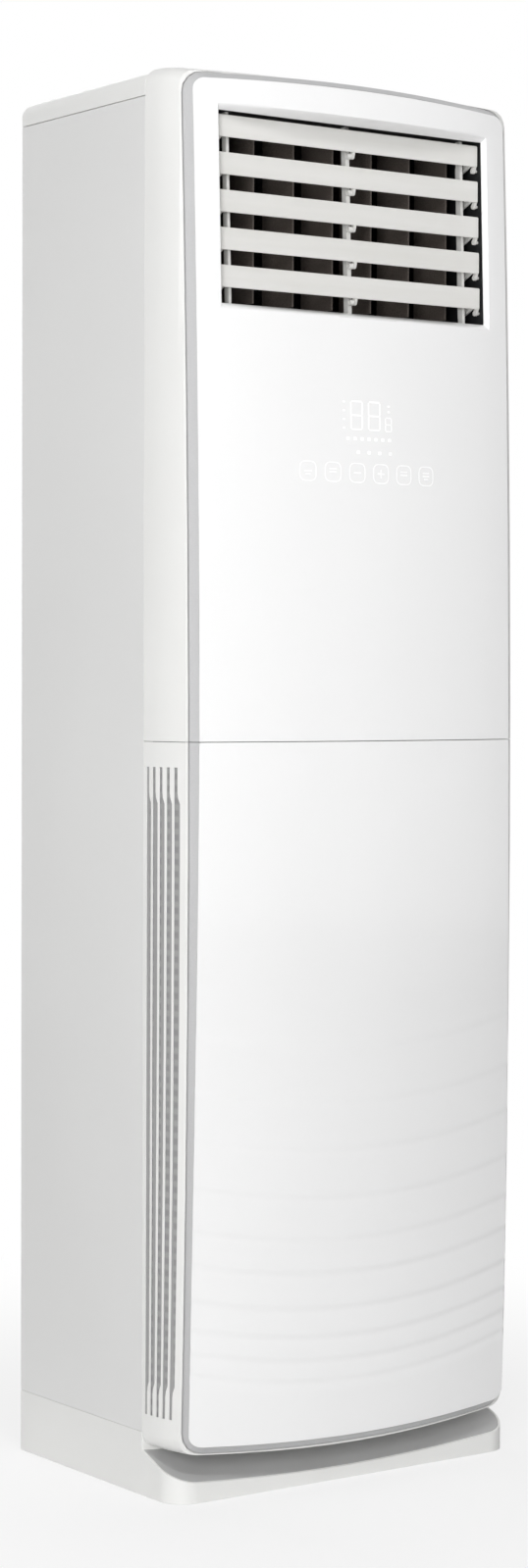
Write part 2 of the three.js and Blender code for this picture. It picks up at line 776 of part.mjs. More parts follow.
// A block round the outlet. Its front edge is flared and lies on the face, or past it along the same slope,
// and its back edge lies in the plane of the opening.
function flaredBlock(grow, reach) {
  const columns = 2 * Math.floor(outlet.halfWidth / face.facetWidth) + 2;
  const grid = new THREE.BoxGeometry(2, 2, 2, columns, 1, 2);
  const middle = outlet.bottom + outlet.height / 2;
  const inner = columns / 2 - 1;
  return solid(mapPoints(grid, (p) => {
    const isFront = p.y < 0;
    const wide = outlet.halfWidth + grow + (isFront ? outlet.flare * reach : 0);
    const high = outlet.height / 2 + grow + (isFront ? outlet.flareHigh * reach : 0);
    const column = Math.round(p.x * (inner + 1));
    const x = Math.abs(column) > inner ? Math.sign(column) * wide : column * face.facetWidth;
    const z = middle + p.z * high;
    const rear = openingY(z);
    p.set(x, isFront ? rear + (faceY(x, z) - rear) * reach : rear, z);
  }));
}

const collarBlock = () => flaredBlock(outlet.collarWall, 1);

function collarHole() {
  const { halfWidth, bottom } = outlet;
  const opening = roundedRect(-halfWidth, bottom, halfWidth, outletTop, [0, 0, 0, 0]);
  return flaredBlock(0, 1.2).add(solid(alongY(opening, openingY(bottom) - 1, seamY)));
}

function upperFace() {
  return faceSkin()
    .intersect(outlinePrism(0))
    .intersect(aboveSplit())
    .add(collarBlock())
    .subtract(collarHole());
}

function lowerFace() {
  return faceSkin().intersect(outlinePrism(0)).intersect(belowSplit());
}

// A filter stands behind the slots of a cheek and follows its curve: a thin mesh in a frame with cross bars.
function filterFrame(sign) {
  const first = filterFirst;
  const last = filterLast;
  const low = filterLow;
  const high = filterHigh;
  const sheet = (thickness, recess) => {
    const inset = grille.wall + gap + recess;
    const line = [];
    const steps = 2;
    for (let i = 0; i <= steps; i += 1) {
      const distance = last + ((first - last) * i) / steps;
      line.push([half - inset - cheekInsetAt(distance), seamY - distance]);
    }
    const plate = alongZ(ribbon(line, thickness), low, high, 4);
    return solid(mapPoints(plate, (p) => {
      p.y = cheekY(seamY - p.y, p.z);
    }));
  };
  const edges = [low];
  for (let z = filter.firstBar; z < high - filter.edge; z += filter.barPitch) {
    edges.push(z);
  }
  edges.push(high);
  const windows = [];
  for (let i = 0; i + 1 < edges.length; i += 1) {
    const z0 = edges[i] + (i === 0 ? filter.edge : filter.bar / 2);
    const z1 = edges[i + 1] - (i + 2 === edges.length ? filter.edge : filter.bar / 2);
    const at = (distance, z) => [cheekY(distance, z), z];
    const pane = shapeOf([
      at(last - filter.edge, z0), at(first + filter.edge, z0), at(first + filter.edge, z1), at(last - filter.edge, z1),
    ]);
    windows.push(solid(alongX(pane, half - 40, half)));
  }
  const body = sheet(filter.frame, 0).subtract(union(windows)).add(sheet(filter.mesh, filter.meshRecess));
  return sign < 0 ? body.mirror([1, 0, 0]) : body;
}

const trimBody = wholeTrim();
add("upper_front_shell", upperShell(), finishes.whitePlastic());
add("lower_front_shell", lowerShell(), finishes.whitePlastic());
add("upper_trim", trimBody.intersect(aboveSplit()), finishes.silverTrim());
add("lower_trim", trimBody.intersect(belowSplit()), finishes.silverTrim());
add("upper_face_panel", upperFace(), finishes.glossWhite());
add("lower_face_panel", lowerFace(), finishes.glossWhite());
add("filter_left", filterFrame(-1), finishes.mesh());
add("filter_right", filterFrame(1), finishes.mesh());

// ---------------------------------------------------------------- outlet

// The frame's front edge follows the leaning plane of the opening.
function leaningBlock(x0, x1, z0, z1, rear) {
  const shape = shapeOf([[openingY(z0) + gap, z0], [rear, z0], [rear, z1], [openingY(z1) + gap, z1]]);
  return solid(alongX(shape, x0, x1));
}

function outletFrame() {
  const wall = outlet.frameWall;
  const low = outlet.bottom - 1;
  const high = outletTop + 1;
  const outer = leaningBlock(-frameHalf - wall, frameHalf + wall, low - wall, high + wall, frameBack);
  const inner = block(-frameHalf, frameHalf, frameFront - 40, frameBack + 10, low, high);
  const last = blade.count - 1;
  const slope = (pivotY(last) - pivotY(0)) / (pivotZ(last) - pivotZ(0));
  const behind = outlet.postBehind;
  const postY = (z) => pivotY(0) + behind + (z - pivotZ(0)) * slope;
  const postShape = shapeOf([
    [postY(low - 1), low - 1],
    [postY(low - 1) + outlet.postDepth, low - 1],
    [postY(high + 1) + outlet.postDepth, high + 1],
    [postY(high + 1), high + 1],
  ]);
  const halfPost = outlet.postWidth / 2;
  const knuckles = [];
  for (let i = 0; i < blade.count; i += 1) {
    const reach = blade.bossRadius + 0.4;
    const arm = new THREE.Shape();
    arm.moveTo(pivotY(i) + behind + 2, pivotZ(i) + reach);
    arm.absarc(pivotY(i), pivotZ(i), reach, Math.PI / 2, 1.5 * Math.PI);
    arm.lineTo(pivotY(i) + behind + 2, pivotZ(i) - reach);
    knuckles.push(solid(alongX(arm, -halfPost, halfPost)));
  }
  // The middle post reaches forward round the pivots. The side posts only stand behind the blades.
  const post = solid(alongX(postShape, -halfPost, halfPost)).add(union(knuckles));
  const ears = [];
  for (const sign of [-1, 1]) {
    for (const z of [outlet.bottom + 30, outletTop - 40]) {
      const near = sign * (frameHalf + 1);
      const away = sign * (outlet.halfWidth + webWindow + 14);
      const ear = block(Math.min(near, away), Math.max(near, away), frameFront - 30, frameFront + 14, z, z + 22);
      ears.push(ear.intersect(behindFace(webBack + gap, backY)));
    }
  }
  let frame = outer.subtract(inner).add(post).add(union(ears));
  for (let i = 0; i < blade.count; i += 1) {
    frame = frame.subtract(bar("x", holeRadius, cabinet.width, -half, pivotY(i), pivotZ(i)));
  }
  for (let i = 0; i < vane.count; i += 1) {
    const hole = bar("z", vane.pinRadius + vane.pinClear, outlet.height + 60, vaneX(i), vanePivotY, low - 30);
    frame = frame.subtract(hole);
  }
  for (const x of [linkX - outlet.sidePostInset, outlet.sidePostInset - linkX]) {
    frame = frame.add(solid(alongX(postShape, x - outlet.sidePostWidth / 2, x + outlet.sidePostWidth / 2)));
  }
  return frame;
}

// An arm in the side view that grows out of a blade and ends in an eye round a pin at a height of zero.
function eyeShape(pinY, first, last, fromDegrees, toDegrees) {
  const turns = 4;
  const points = [first];
  for (let i = 0; i <= turns; i += 1) {
    const angle = radians(fromDegrees + ((toDegrees - fromDegrees) * i) / turns);
    points.push([pinY + blade.bossRadius * Math.cos(angle), blade.bossRadius * Math.sin(angle)]);
  }
  points.push(last);
  return shapeOf(points);
}

// A blade, drawn round its pivot. The face is in front of the pivot and the crank arms reach back.
function bladeBody(index) {
  const front = -blade.pivotBehind;
  const back = front + blade.thickness;
  const low = blade.pivotDrop;
  const high = low + blade.height;
  const round = blade.thickness / 2;
  const section = shapeOf([
    [front, low + round],
    [front + round / 2, low],
    [back - round / 2, low],
    [back, low + round],
    [back, high - blade.thickness],
    [back + blade.curl, high - blade.thickness],
    [back + blade.curl, high - round],
    [front + round, high],
    [front, high - round],
  ]);
  const wide = outlet.halfWidth - blade.endGap;
  const parts = [solid(alongX(section, -wide, wide))];
  const postSide = outlet.postWidth / 2 + 0.8;
  const lug = eyeShape(0, [front + 0.6, low + 2.5], [back - 0.4, low + 6], 170, 370);
  for (const x of [-wide, wide - blade.lugWidth, postSide]) {
    parts.push(solid(alongX(lug, x, x + blade.lugWidth)));
  }
  const pin = (y, x0, x1) => parts.push(bar("x", blade.pinRadius, x1 - x0, x0, y, 0));
  const reach = frameHalf + outlet.frameWall - 0.5;
  const driven = index === middleBlade ? stepper.socket + 1.5 : 0;
  pin(0, wide - 1, reach);
  pin(0, -reach - driven, 1 - wide);
  pin(0, 1 - outlet.postWidth / 2, postSide + 1);
  const arm = eyeShape(blade.crank, [back - 0.6, low + 1.5], [back - 0.6, low + 9], 250, 430);
  const linkSide = linkX + blade.linkWidth / 2;
  const armInner = linkSide + 0.6;
  for (const sign of [-1, 1]) {
    const x0 = sign > 0 ? armInner : -armInner - blade.lugWidth;
    parts.push(solid(alongX(arm, x0, x0 + blade.lugWidth)));
    const pinEnd = linkSide - blade.linkWidth - 0.8;
    pin(blade.crank, sign > 0 ? pinEnd : -armInner - 0.5, sign > 0 ? armInner + 0.5 : -pinEnd);
  }
  return union(parts);
}

// The bar that ties the blades at one side, drawn in place.
function bladeLink(sign) {
  const end = 7;
  const last = blade.count - 1;
  const y = (i) => pivotY(i) + blade.crank;
  const lean = (y(last) - y(0)) / (pivotZ(last) - pivotZ(0));
  const deep = blade.linkDepth / 2;
  const low = pivotZ(0) - end;
  const high = pivotZ(last) + end;
  const shape = shapeOf([
    [y(0) - end * lean - deep, low + 2],
    [y(0) - end * lean - deep + 2, low],
    [y(0) - end * lean + deep - 2, low],
    [y(0) - end * lean + deep, low + 2],
    [y(last) + end * lean + deep, high - 2],
    [y(last) + end * lean + deep - 2, high],
    [y(last) + end * lean - deep + 2, high],
    [y(last) + end * lean - deep, high - 2],
  ]);
  const x = sign * linkX - blade.linkWidth / 2;
  let link = solid(alongX(shape, x, x + blade.linkWidth));
  for (let i = 0; i <= last; i += 1) {
    link = link.subtract(bar("x", holeRadius, 20, sign * linkX - 10, y(i), pivotZ(i)));
  }
  return link;
}

// An upright vane, drawn round its pivot, with its crank pin behind and below.
function vaneBody(index) {
  const noseRadius = vane.thickness / 2;
  const front = -vane.depth / 2;
  const back = vane.depth / 2;
  const plan = new THREE.Shape();
  plan.moveTo(-noseRadius, front + noseRadius);
  plan.absarc(0, front + noseRadius, noseRadius, Math.PI, 2 * Math.PI);
  plan.lineTo(noseRadius, 6);
  plan.lineTo(0.6, back);
  plan.lineTo(-0.6, back);
  plan.lineTo(-noseRadius, 6);
  const parts = [solid(alongZ(plan, vaneLow, vaneHigh))];
  const wall = outlet.frameWall;
  const under = outlet.bottom - 1 - wall + 0.5;
  const driven = index === middleVane ? stepper.socket + 1.5 : 0;
  parts.push(bar("z", vane.pinRadius, vaneLow - under + 2 + driven, 0, 0, under - driven));
  parts.push(bar("z", vane.pinRadius, outletTop + 1 + wall - 0.5 - vaneHigh + 2, 0, 0, vaneHigh - 2));
  const pinLow = vaneLinkZ - 0.6;
  parts.push(bar("z", vane.pinRadius, vaneLow - pinLow + 2, 0, vane.crank, pinLow));
  return union(parts);
}

function vaneLink() {
  const reach = vaneX(vane.count - 1) + 6;
  const deep = vane.linkDepth / 2;
  const y = vanePivotY + vane.crank;
  const plan = roundedRect(-reach, y - deep, reach, y + deep, [3, 3, 3, 3]);
  let link = solid(alongZ(plan, vaneLinkZ, vaneLinkZ + vane.linkHeight));
  for (let i = 0; i < vane.count; i += 1) {
    link = link.subtract(bar("z", vane.pinRadius + vane.pinClear, 20, vaneX(i), y, vaneLinkZ - 10));
  }
  return link;
}

// A small geared stepper motor, drawn round its shaft socket, which sits off the middle of the can. The
// mounting face is at zero and the can grows along +Z.
function stepperBody(socketRadius) {
  const { radius, length, offset, earThickness } = stepper;
  const can = bar("z", radius, length, 0, offset, 0, 18);
  const high = stepper.earHeight / 2;
  const wide = stepper.earWidth / 2;
  const ears = solid(alongZ(roundedRect(-wide, offset - high, wide, offset + high, [0, 0, 0, 0]), 0, earThickness));
  const plug = block(-8, 8, offset + radius - 3, offset + radius + 5, 3, length - 2);
  const socket = bar("z", socketRadius, stepper.socket + 4, 0, 0, -2);
  return can.add(ears).add(plug).subtract(socket);
}

add("outlet_frame", outletFrame(), finishes.darkPlastic());
const bladeGroup = new THREE.Group();
cabinetGroup.add(bladeGroup);
for (let i = 0; i < blade.count; i += 1) {
  const mesh = add(`blade_${i + 1}`, bladeBody(i), finishes.bladePlastic(), bladeGroup);
  mesh.position.set(0, pivotY(i), pivotZ(i));
}
add("blade_link_left", bladeLink(-1), finishes.bladePlastic(), bladeGroup);
add("blade_link_right", bladeLink(1), finishes.bladePlastic(), bladeGroup);

const vaneGroup = new THREE.Group();
cabinetGroup.add(vaneGroup);
for (let i = 0; i < vane.count; i += 1) {
  const mesh = add(`vane_${i + 1}`, vaneBody(i), finishes.darkPlastic(), vaneGroup);
  mesh.position.set(vaneX(i), vanePivotY, 0);
}
add("vane_link", vaneLink(), finishes.darkPlastic(), vaneGroup);

const bladeMotor = add("blade_motor", stepperBody(holeRadius), finishes.galvanised());
bladeMotor.rotation.y = -Math.PI / 2; // its can grows to the left
bladeMotor.position.set(-frameHalf - outlet.frameWall - gap, pivotY(middleBlade), pivotZ(middleBlade));
const vaneMotor = add("vane_motor", stepperBody(vane.pinRadius + vane.pinClear), finishes.galvanised());
vaneMotor.rotation.x = Math.PI;
vaneMotor.position.set(0, vanePivotY, outlet.bottom - 1 - outlet.frameWall - gap);

// ---------------------------------------------------------------- fan

// The scroll in the front view, drawn in by an inset. It opens on its way round and ends in an upright outlet.
function scrollShape(inset, top) {
  const turns = 34;
  const start = radians(fan.tongueAngle);
  const points = [];
  for (let i = 0; i <= turns; i += 1) {
    const angle = start + ((2 * Math.PI - start) * i) / turns;
    const radius = fan.scrollStart + (scrollGrowth * i) / turns - inset;
    points.push([radius * Math.cos(angle), fan.height + radius * Math.sin(angle)]);
  }
  points.push([fan.scrollStart + scrollGrowth - inset, top]);
  points.push([fan.scrollStart * Math.cos(start) + inset, top]);
  return shapeOf(points);
}

function volute() {
  const wall = fan.voluteWall;
  const top = deckHeight - gap;
  const shellBody = solid(alongY(scrollShape(0, top), voluteFrontY, voluteBackY));
  const inside = solid(alongY(scrollShape(wall, top + 20), voluteFrontY + wall, voluteBackY - wall));
  const inlet = bar("y", fan.inletRadius + 1, 20, 0, voluteFrontY - 10, fan.height, 28);
  const shaftHole = bar("y", fan.hubRadius, 20, 0, voluteBackY - 10, fan.height, 20);
  const feet = [];
  for (const x of [-110, 110]) {
    const foot = block(x - 12, x + 12, voluteFrontY, voluteBackY, base.railHeight + gap, fan.height);
    feet.push(foot.subtract(solid(alongY(scrollShape(1, top), -far, far))));
  }
  return shellBody.add(union(feet)).subtract(inside).subtract(inlet).subtract(shaftHole);
}

// A bell mouth that carries the air into the eye of the impeller.
function inletRing() {
  const r = fan.inletRadius;
  const profile = [
    [r - 2, 16],
    [r - 5, 9],
    [r - 2, 0],
    [r + 6, -6],
    [r + 16, -7],
    [r + 16, -gap],
    [r - gap, -gap],
    [r - gap, 3],
    [r - 3, 9],
    [r - 0.5, 16],
    [r - 2, 16],
  ].map(([radius, y]) => new THREE.Vector2(radius, y));
  const ring = new THREE.LatheGeometry(profile, 28);
  return solid(ring.translate(0, voluteFrontY, fan.height));
}

// A forward curved wheel, drawn with its back plate at zero and its blades along +Y. Its shaft points back.
function impeller() {
  const width = fan.impellerWidth;
  const { eyeRadius, hubRadius, shaftRadius, impellerRadius } = fan;
  const round = 28;
  const lathe = (profile) => solid(new THREE.LatheGeometry(profile.map(([r, y]) => new THREE.Vector2(r, y)), round));
  const plate = lathe([
    [0, -40],
    [shaftRadius, -40],
    [shaftRadius, -7],
    [hubRadius - 8, -7],
    [hubRadius - 4, 0],
    [impellerRadius, 0],
    [impellerRadius, 2.5],
    [hubRadius + 26, 2.5],
    [hubRadius - 6, 22],
    [0, 26],
  ]);
  const outer = impellerRadius - 2;
  const ring = lathe([
    [outer - 10, width - 3],
    [outer + 2, width - 3],
    [outer + 2, width],
    [outer - 10, width],
    [outer - 10, width - 3],
  ]);
  const steps = 3;
  const side = (sign) => {
    const points = [];
    for (let i = 0; i <= steps; i += 1) {
      const share = i / steps;
      const radius = eyeRadius + (outer - eyeRadius) * share;
      const angle = radians(11 * share * share) + (sign * fan.bladeThickness) / 2 / radius;
      points.push([radius * Math.cos(angle), radius * Math.sin(angle)]);
    }
    return points;
  };
  const outline = shapeOf([...side(-1), ...side(1).reverse()]);
  const wheel = [];
  for (let i = 0; i < fan.blades; i += 1) {
    wheel.push(solid(alongY(outline, 1, width - 1).rotateY((2 * Math.PI * i) / fan.blades)));
  }
  return plate.add(ring).add(union(wheel));
}

function fanMotor() {
  const r = fan.motorRadius;
  const profile = [
    [fan.shaftRadius + fan.shaftClear, 0],
    [18, 0],
    [20, 6],
    [r - 8, 8],
    [r, 14],
    [r, 30],
    [r + 6, 30],
    [r + 6, 33],
    [r, 33],
    [r, 44],
    [r - 10, 50],
    [0, 50],
    [0, 32],
    [fan.shaftRadius + fan.shaftClear, 32],
    [fan.shaftRadius + fan.shaftClear, 0],
  ].map(([radius, y]) => new THREE.Vector2(radius, y));
  return solid(new THREE.LatheGeometry(profile, 20));
}

// A bent sheet post behind the fan. The motor's flange seats against it.
function motorBracket() {
  const y = motorFrontY + 33 + gap;
  const wide = fan.motorRadius + 24;
  const top = fan.height + fan.motorRadius + 24;
  const plate = roundedRect(-wide, base.floor + gap, wide, top, [0, 0, 16, 16]);
  const sheet = solid(alongY(plate, y, y + 2));
  const hole = bar("y", fan.motorRadius + 1, 30, 0, y - 10, fan.height, 20);
  const flanges = [-wide, wide - 2].map((x) => block(x, x + 2, y - 12, y + 1, base.floor + gap, fan.height));
  const foot = block(-wide, wide, y - 30, y + 1, base.floor + gap, base.floor + gap + 2);
  return sheet.add(union(flanges)).add(foot).subtract(hole);
}

add("fan_volute", volute(), finishes.galvanised());
add("inlet_ring", inletRing(), finishes.whitePlastic());
const impellerMesh = add("impeller", impeller(), finishes.darkPlastic());
impellerMesh.rotation.x = Math.PI;
impellerMesh.position.set(0, impellerBackY, fan.height);
const motorMesh = add("fan_motor", fanMotor(), finishes.motorBlack());
motorMesh.position.set(0, motorFrontY, fan.height);
add("motor_bracket", motorBracket(), finishes.galvanised());

// ---------------------------------------------------------------- coil chamber

function fanDeck() {
  const front = chamberFrontY + 2;
  const t = deckSheet;
  const line = [[front, deckHeight - 16], [front, deckHeight + t], [sheetRear, deckHeight + t]];
  const tray = solid(alongX(ribbon(line.reverse(), t), -shelfHalf, shelfHalf));
  const start = radians(fan.tongueAngle);
  const x0 = fan.scrollStart * Math.cos(start) + fan.voluteWall;
  const x1 = fan.scrollStart + scrollGrowth - fan.voluteWall;
  const hole = block(x0, x1, voluteFrontY + fan.voluteWall, voluteBackY - fan.voluteWall, deckHeight - 5, deckHeight + 5);
  const notch = block(-half, -half + 60, fromBack(64), backY, deckHeight - 5, deckHeight + 5);
  return tray.subtract(hole).subtract(notch);
}

// The sheet that closes the coil chamber at the front, bent back under the air guide at its top.
function chamberFront() {
  const bottom = deckHeight + deckSheet + gap;
  const top = guide.bottom - gap;
  const sheet = 1.5;
  const rear = fromBack(guide.throatFront) - 4;
  const line = [[rear, top], [chamberFrontY, top], [chamberFrontY, bottom]];
  const plate = solid(alongX(ribbon(line, sheet), -shelfHalf, shelfHalf));
  const beads = [];
  for (const x of [-150, 0, 150]) {
    const section = shapeOf([[x - 14, 0.5], [x + 14, 0.5], [x + 8, 5], [x - 8, 5]]);
    beads.push(solid(alongZ(section, box.bottom + box.height + 60, top - 60)).translate([0, chamberFrontY, 0]));
  }
  return plate.add(union(beads));
}

function finPack() {
  const deep = coil.thickness / 2;
  const points = [[-coil.halfWidth, deep], [-coil.halfWidth, -deep]];
  const count = Math.floor((2 * coil.halfWidth) / coil.finPitch);
  const first = -((count - 1) * coil.finPitch) / 2;
  for (let i = 0; i < count; i += 1) {
    const x = first + i * coil.finPitch;
    points.push([x - coil.finSlot / 2, -deep], [x - coil.finSlot / 2, -deep + coil.finSlotDepth]);
    points.push([x + coil.finSlot / 2, -deep + coil.finSlotDepth], [x + coil.finSlot / 2, -deep]);
  }
  points.push([coil.halfWidth, -deep], [coil.halfWidth, deep]);
  return solid(alongZ(shapeOf(points), -coil.length / 2, coil.length / 2));
}

// An end plate of the coil: a sheet against the fins with a flange out to the side panel. The right one
// carries the return bends of the tubes.
function coilEnd(sign) {
  const near = coil.halfWidth + gap;
  const deep = coil.thickness / 2;
  const line = [[near, deep], [near, -deep - 2], [shelfHalf, -deep - 2]];
  let body = solid(alongZ(ribbon(line, 1.2), -coil.length / 2, coil.length / 2));
  if (sign > 0) {
    const pitch = coil.length / coil.bends;
    const rise = 14;
    const out = 15;
    const outside = block(near + 0.2, half, -far, far, -far, far);
    for (let i = 0; i < coil.bends; i += 1) {
      const z = -coil.length / 2 + pitch * (i + 0.5);
      const foot = near - 1;
      const bend = tube(coil.tubeRadius, 5, [
        [foot, 0, z - rise],
        [foot + out * 0.6, 0, z - rise * 0.9],
        [foot + out, 0, z],
        [foot + out * 0.6, 0, z + rise * 0.9],
        [foot, 0, z + rise],
      ]);
      body = body.add(bend.intersect(outside));
    }
  }
  return sign < 0 ? body.mirror([1, 0, 0]) : body;
}

// A round rod along a smooth curve through points.
function tube(radius, steps, places) {
  const sides = 8;
  const section = [];
  for (let i = 0; i < sides; i += 1) {
    const angle = (2 * Math.PI * i) / sides;
    section.push([radius * Math.cos(angle), radius * Math.sin(angle)]);
  }
  const curve = new THREE.CatmullRomCurve3(places.map(([x, y, z]) => new THREE.Vector3(x, y, z)), false, "centripetal");
  return solid(new THREE.ExtrudeGeometry(shapeOf(section), { steps, bevelEnabled: false, extrudePath: curve }));
}

// A tray under the coil with a sloped floor and a spout. It ends in front of the fan's outlet in the deck.
function drainPan() {
  const { wall, spoutRadius } = pan;
  const low = deckHeight + deckSheet + gap;
  const y0 = chamberFrontY + 4;
  const y1 = voluteFrontY - 1;
  const wide = coil.halfWidth + pan.margin;
  const outer = block(-wide, wide, y0, y1, low, low + pan.height);
  const inner = shapeOf([
    [-wide + wall, low + wall],
    [wide - wall, low + wall + pan.fall],
    [wide - wall, low + 2 * pan.height],
    [-wide + wall, low + 2 * pan.height],
  ]);
  const spoutX = pan.spoutInset - wide;
  const spoutZ = low + pan.spoutHeight;
  const spout = bar("y", spoutRadius, pan.spoutLength, spoutX, y1 - 1, spoutZ, 12);
  const bore = bar("y", spoutRadius - pan.spoutWall, 2 * pan.spoutLength, spoutX, y1 - 4 * wall, spoutZ, 12);
  return outer.subtract(solid(alongY(inner, y0 + wall, y1 - wall))).add(spout).subtract(bore);
}

// Foam block with a curved channel that turns the rising air to the front.
function airGuide() {
  const rear = sheetRear;
  const front = frameBack + gap;
  const low = guide.bottom;
  const high = outletTop + 1 + guide.roof;
  const outline = roundedRect(front, low, rear, high, [0, 0, guide.round, 0]);
  const blockBody = solid(alongX(outline, -shelfHalf, shelfHalf));
  // Hollows in both flanks save foam and leave a rib between them.
  const hollows = [];
  const rib = 16;
  const split = (low + high) / 2;
  for (const [z0, z1] of [[low + rib, split - rib / 2], [split + rib / 2, high - guide.round]]) {
    const one = block(frameHalf + guide.sideWall, half, front + rib, rear - rib, z0, z1);
    hollows.push(one, one.mirror([1, 0, 0]));
  }
  const back = rear - guide.backWall;
  const throat = fromBack(guide.throatFront);
  const bottom = outlet.bottom - 1;
  const top = outletTop + 1;
  const round = Math.min((back - front) * 0.8, top - low - 60);
  const channel = new THREE.Shape();
  channel.moveTo(throat, low - 1);
  channel.lineTo(back, low - 1);
  channel.lineTo(back, top - round);
  channel.absarc(back - round, top - round, round, 0, Math.PI / 2);
  channel.lineTo(front - 1, top);
  channel.lineTo(front - 1, bottom);
  channel.lineTo(front + 4, bottom);
  channel.quadraticCurveTo(throat, bottom, throat, bottom - 60);
  return blockBody.subtract(solid(alongX(channel, -frameHalf, frameHalf))).subtract(union(hollows));
}

add("fan_deck", fanDeck(), finishes.galvanised());
add("chamber_front_plate", chamberFront(), finishes.galvanised());
const coilGroup = new THREE.Group();
coilGroup.position.set(0, fromBack(coil.middleFromBack), coil.middleHeight);
coilGroup.rotation.x = -radians(coil.tilt);
cabinetGroup.add(coilGroup);
add("coil_fins", finPack(), finishes.aluminium(), coilGroup);
add("coil_end_left", coilEnd(-1), finishes.galvanised(), coilGroup);
add("coil_end_right", coilEnd(1), finishes.galvanised(), coilGroup);
add("drain_pan", drainPan(), finishes.whitePlastic());
add("air_guide", airGuide(), finishes.foam());

// ---------------------------------------------------------------- electrics

function electricalBox() {
  const x0 = box.left;
  const x1 = x0 + box.width;
  const y1 = chamberFrontY - gap;
  const y0 = y1 - box.depth;
  const z0 = box.bottom;
  const z1 = z0 + box.height;
  const w = box.wall;
  const outer = block(x0, x1, y0, y1, z0, z1);
  const inner = block(x0 + w, x1 - w, y0 - 5, y1 - w, z0 + w, z1 - w);
  const studs = [];
  for (const x of [x0 + 16, x1 - 16]) {
    for (const z of [z0 + 16, z1 - 16]) {
      studs.push(bar("y", 4, 12, x, y1 - w - 11, z, 10));
    }
  }
  return outer.subtract(inner).add(union(studs));
}

function boxLid() {
  const x0 = box.left - gap - box.wall;
  const x1 = box.left + box.width + gap + box.wall;
  const y0 = chamberFrontY - gap - box.depth - gap - box.wall;
  const z0 = box.bottom - gap - box.wall;
  const z1 = box.bottom + box.height + gap + box.wall;
  const w = box.wall;
  const outer = block(x0, x1, y0, y0 + 14, z0, z1);
  return outer.subtract(block(x0 + w, x1 - w, y0 + w, y0 + 30, z0 + w, z1 - w));
}

function controlBoard() {
  const x0 = box.left + 8;
  const x1 = box.left + box.width - 8;
  const z0 = box.bottom + 8;
  const z1 = box.bottom + box.height - 8;
  const y1 = chamberFrontY - gap - box.wall - 11 - gap;
  const board = block(x0, x1, y1 - 1.6, y1, z0, z1);
  const parts = [
    block(x0 + 16, x0 + 58, y1 - 26, y1 - 1, z0 + 18, z0 + 54),
    block(x0 + 76, x0 + 118, y1 - 18, y1 - 1, z0 + 14, z0 + 40),
    block(x0 + 20, x0 + 90, y1 - 12, y1 - 1, z1 - 34, z1 - 16),
    bar("y", 11, 26, x0 + 146, y1 - 27, z0 + 40, 16),
    bar("y", 11, 26, x0 + 176, y1 - 27, z0 + 40, 16),
  ];
  return board.add(union(parts));
}

// The board behind the display window, drawn round its middle. Posts stand on the web behind it.
function displayBoard() {
  const { halfWidth, halfHeight, board, postRadius, edge } = display;
  const plate = block(-halfWidth, halfWidth, 0, board, -halfHeight, halfHeight);
  const parts = [plate];
  for (const x of [-halfWidth + edge, 0, halfWidth - edge]) {
    for (const z of [-halfHeight + edge, halfHeight - edge]) {
      const reach = webFront - gap - displayOffset + planSag(x);
      parts.push(bar("y", postRadius, reach - 0.5, x, 0.5, z));
    }
  }
  return union(parts);
}

add("electrical_box", electricalBox(), finishes.galvanised());
add("electrical_box_lid", boxLid(), finishes.galvanised());
add("control_board", controlBoard(), finishes.board());
const displayMesh = add("display_board", displayBoard(), finishes.board());
const displayLow = sideSag(display.height - display.halfHeight);
const displayHigh = sideSag(display.height + display.halfHeight);
displayMesh.rotation.x = -Math.atan2(displayHigh - displayLow, 2 * display.halfHeight);
displayMesh.position.set(0, faceY(0, display.height) + displayOffset, display.height);

// ---------------------------------------------------------------- refrigerant pipes

// A pipe from the left end of the coil to the rear left corner, down it, and round to a nut by the pipe hole.
function refrigerantPipe(radius, x, y, startZ, endX) {
  const coilY = fromBack(coil.middleFromBack) - (coil.middleHeight - startZ) * Math.tan(radians(coil.tilt));
  const bendZ = pipes.holeHeight + 70;
  const startX = -coil.halfWidth - 1.2 - 2 * gap - 0.6;
  const pipe = tube(radius, 26, [
    [startX, coilY + 10, startZ],
    [startX - 4, coilY + 10, startZ],
    [x, coilY + 30, startZ],
    [x, coilY + 60, startZ - 4],
    [x, y - 30, startZ - 20],
    [x, y, startZ - 60],
    [x, y, startZ - 300],
    [x, y, bendZ + 60],
    [(x + endX) / 2, y, bendZ],
    [endX, y, bendZ - 50],
    [endX, y, bendZ - 60],
  ]);
  const nut = new THREE.CylinderGeometry(radius * pipes.nut, radius * pipes.nut, 16, 6);
  nut.rotateX(Math.PI / 2).translate(endX, y, bendZ - 66);
  return pipe.add(solid(nut));
}

const gasPipe = refrigerantPipe(pipes.gasRadius, -half + 18, fromBack(30), 905, pipes.holeX - 14);
const liquidPipe = refrigerantPipe(pipes.liquidRadius, -half + 24, fromBack(54), 860, pipes.holeX + 16);
add("gas_pipe", gasPipe, finishes.copper());
add("liquid_pipe", liquidPipe, finishes.copper());

export default cabinetGroup;
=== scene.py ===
import bpy
import json
import math
from mathutils import Matrix, Vector


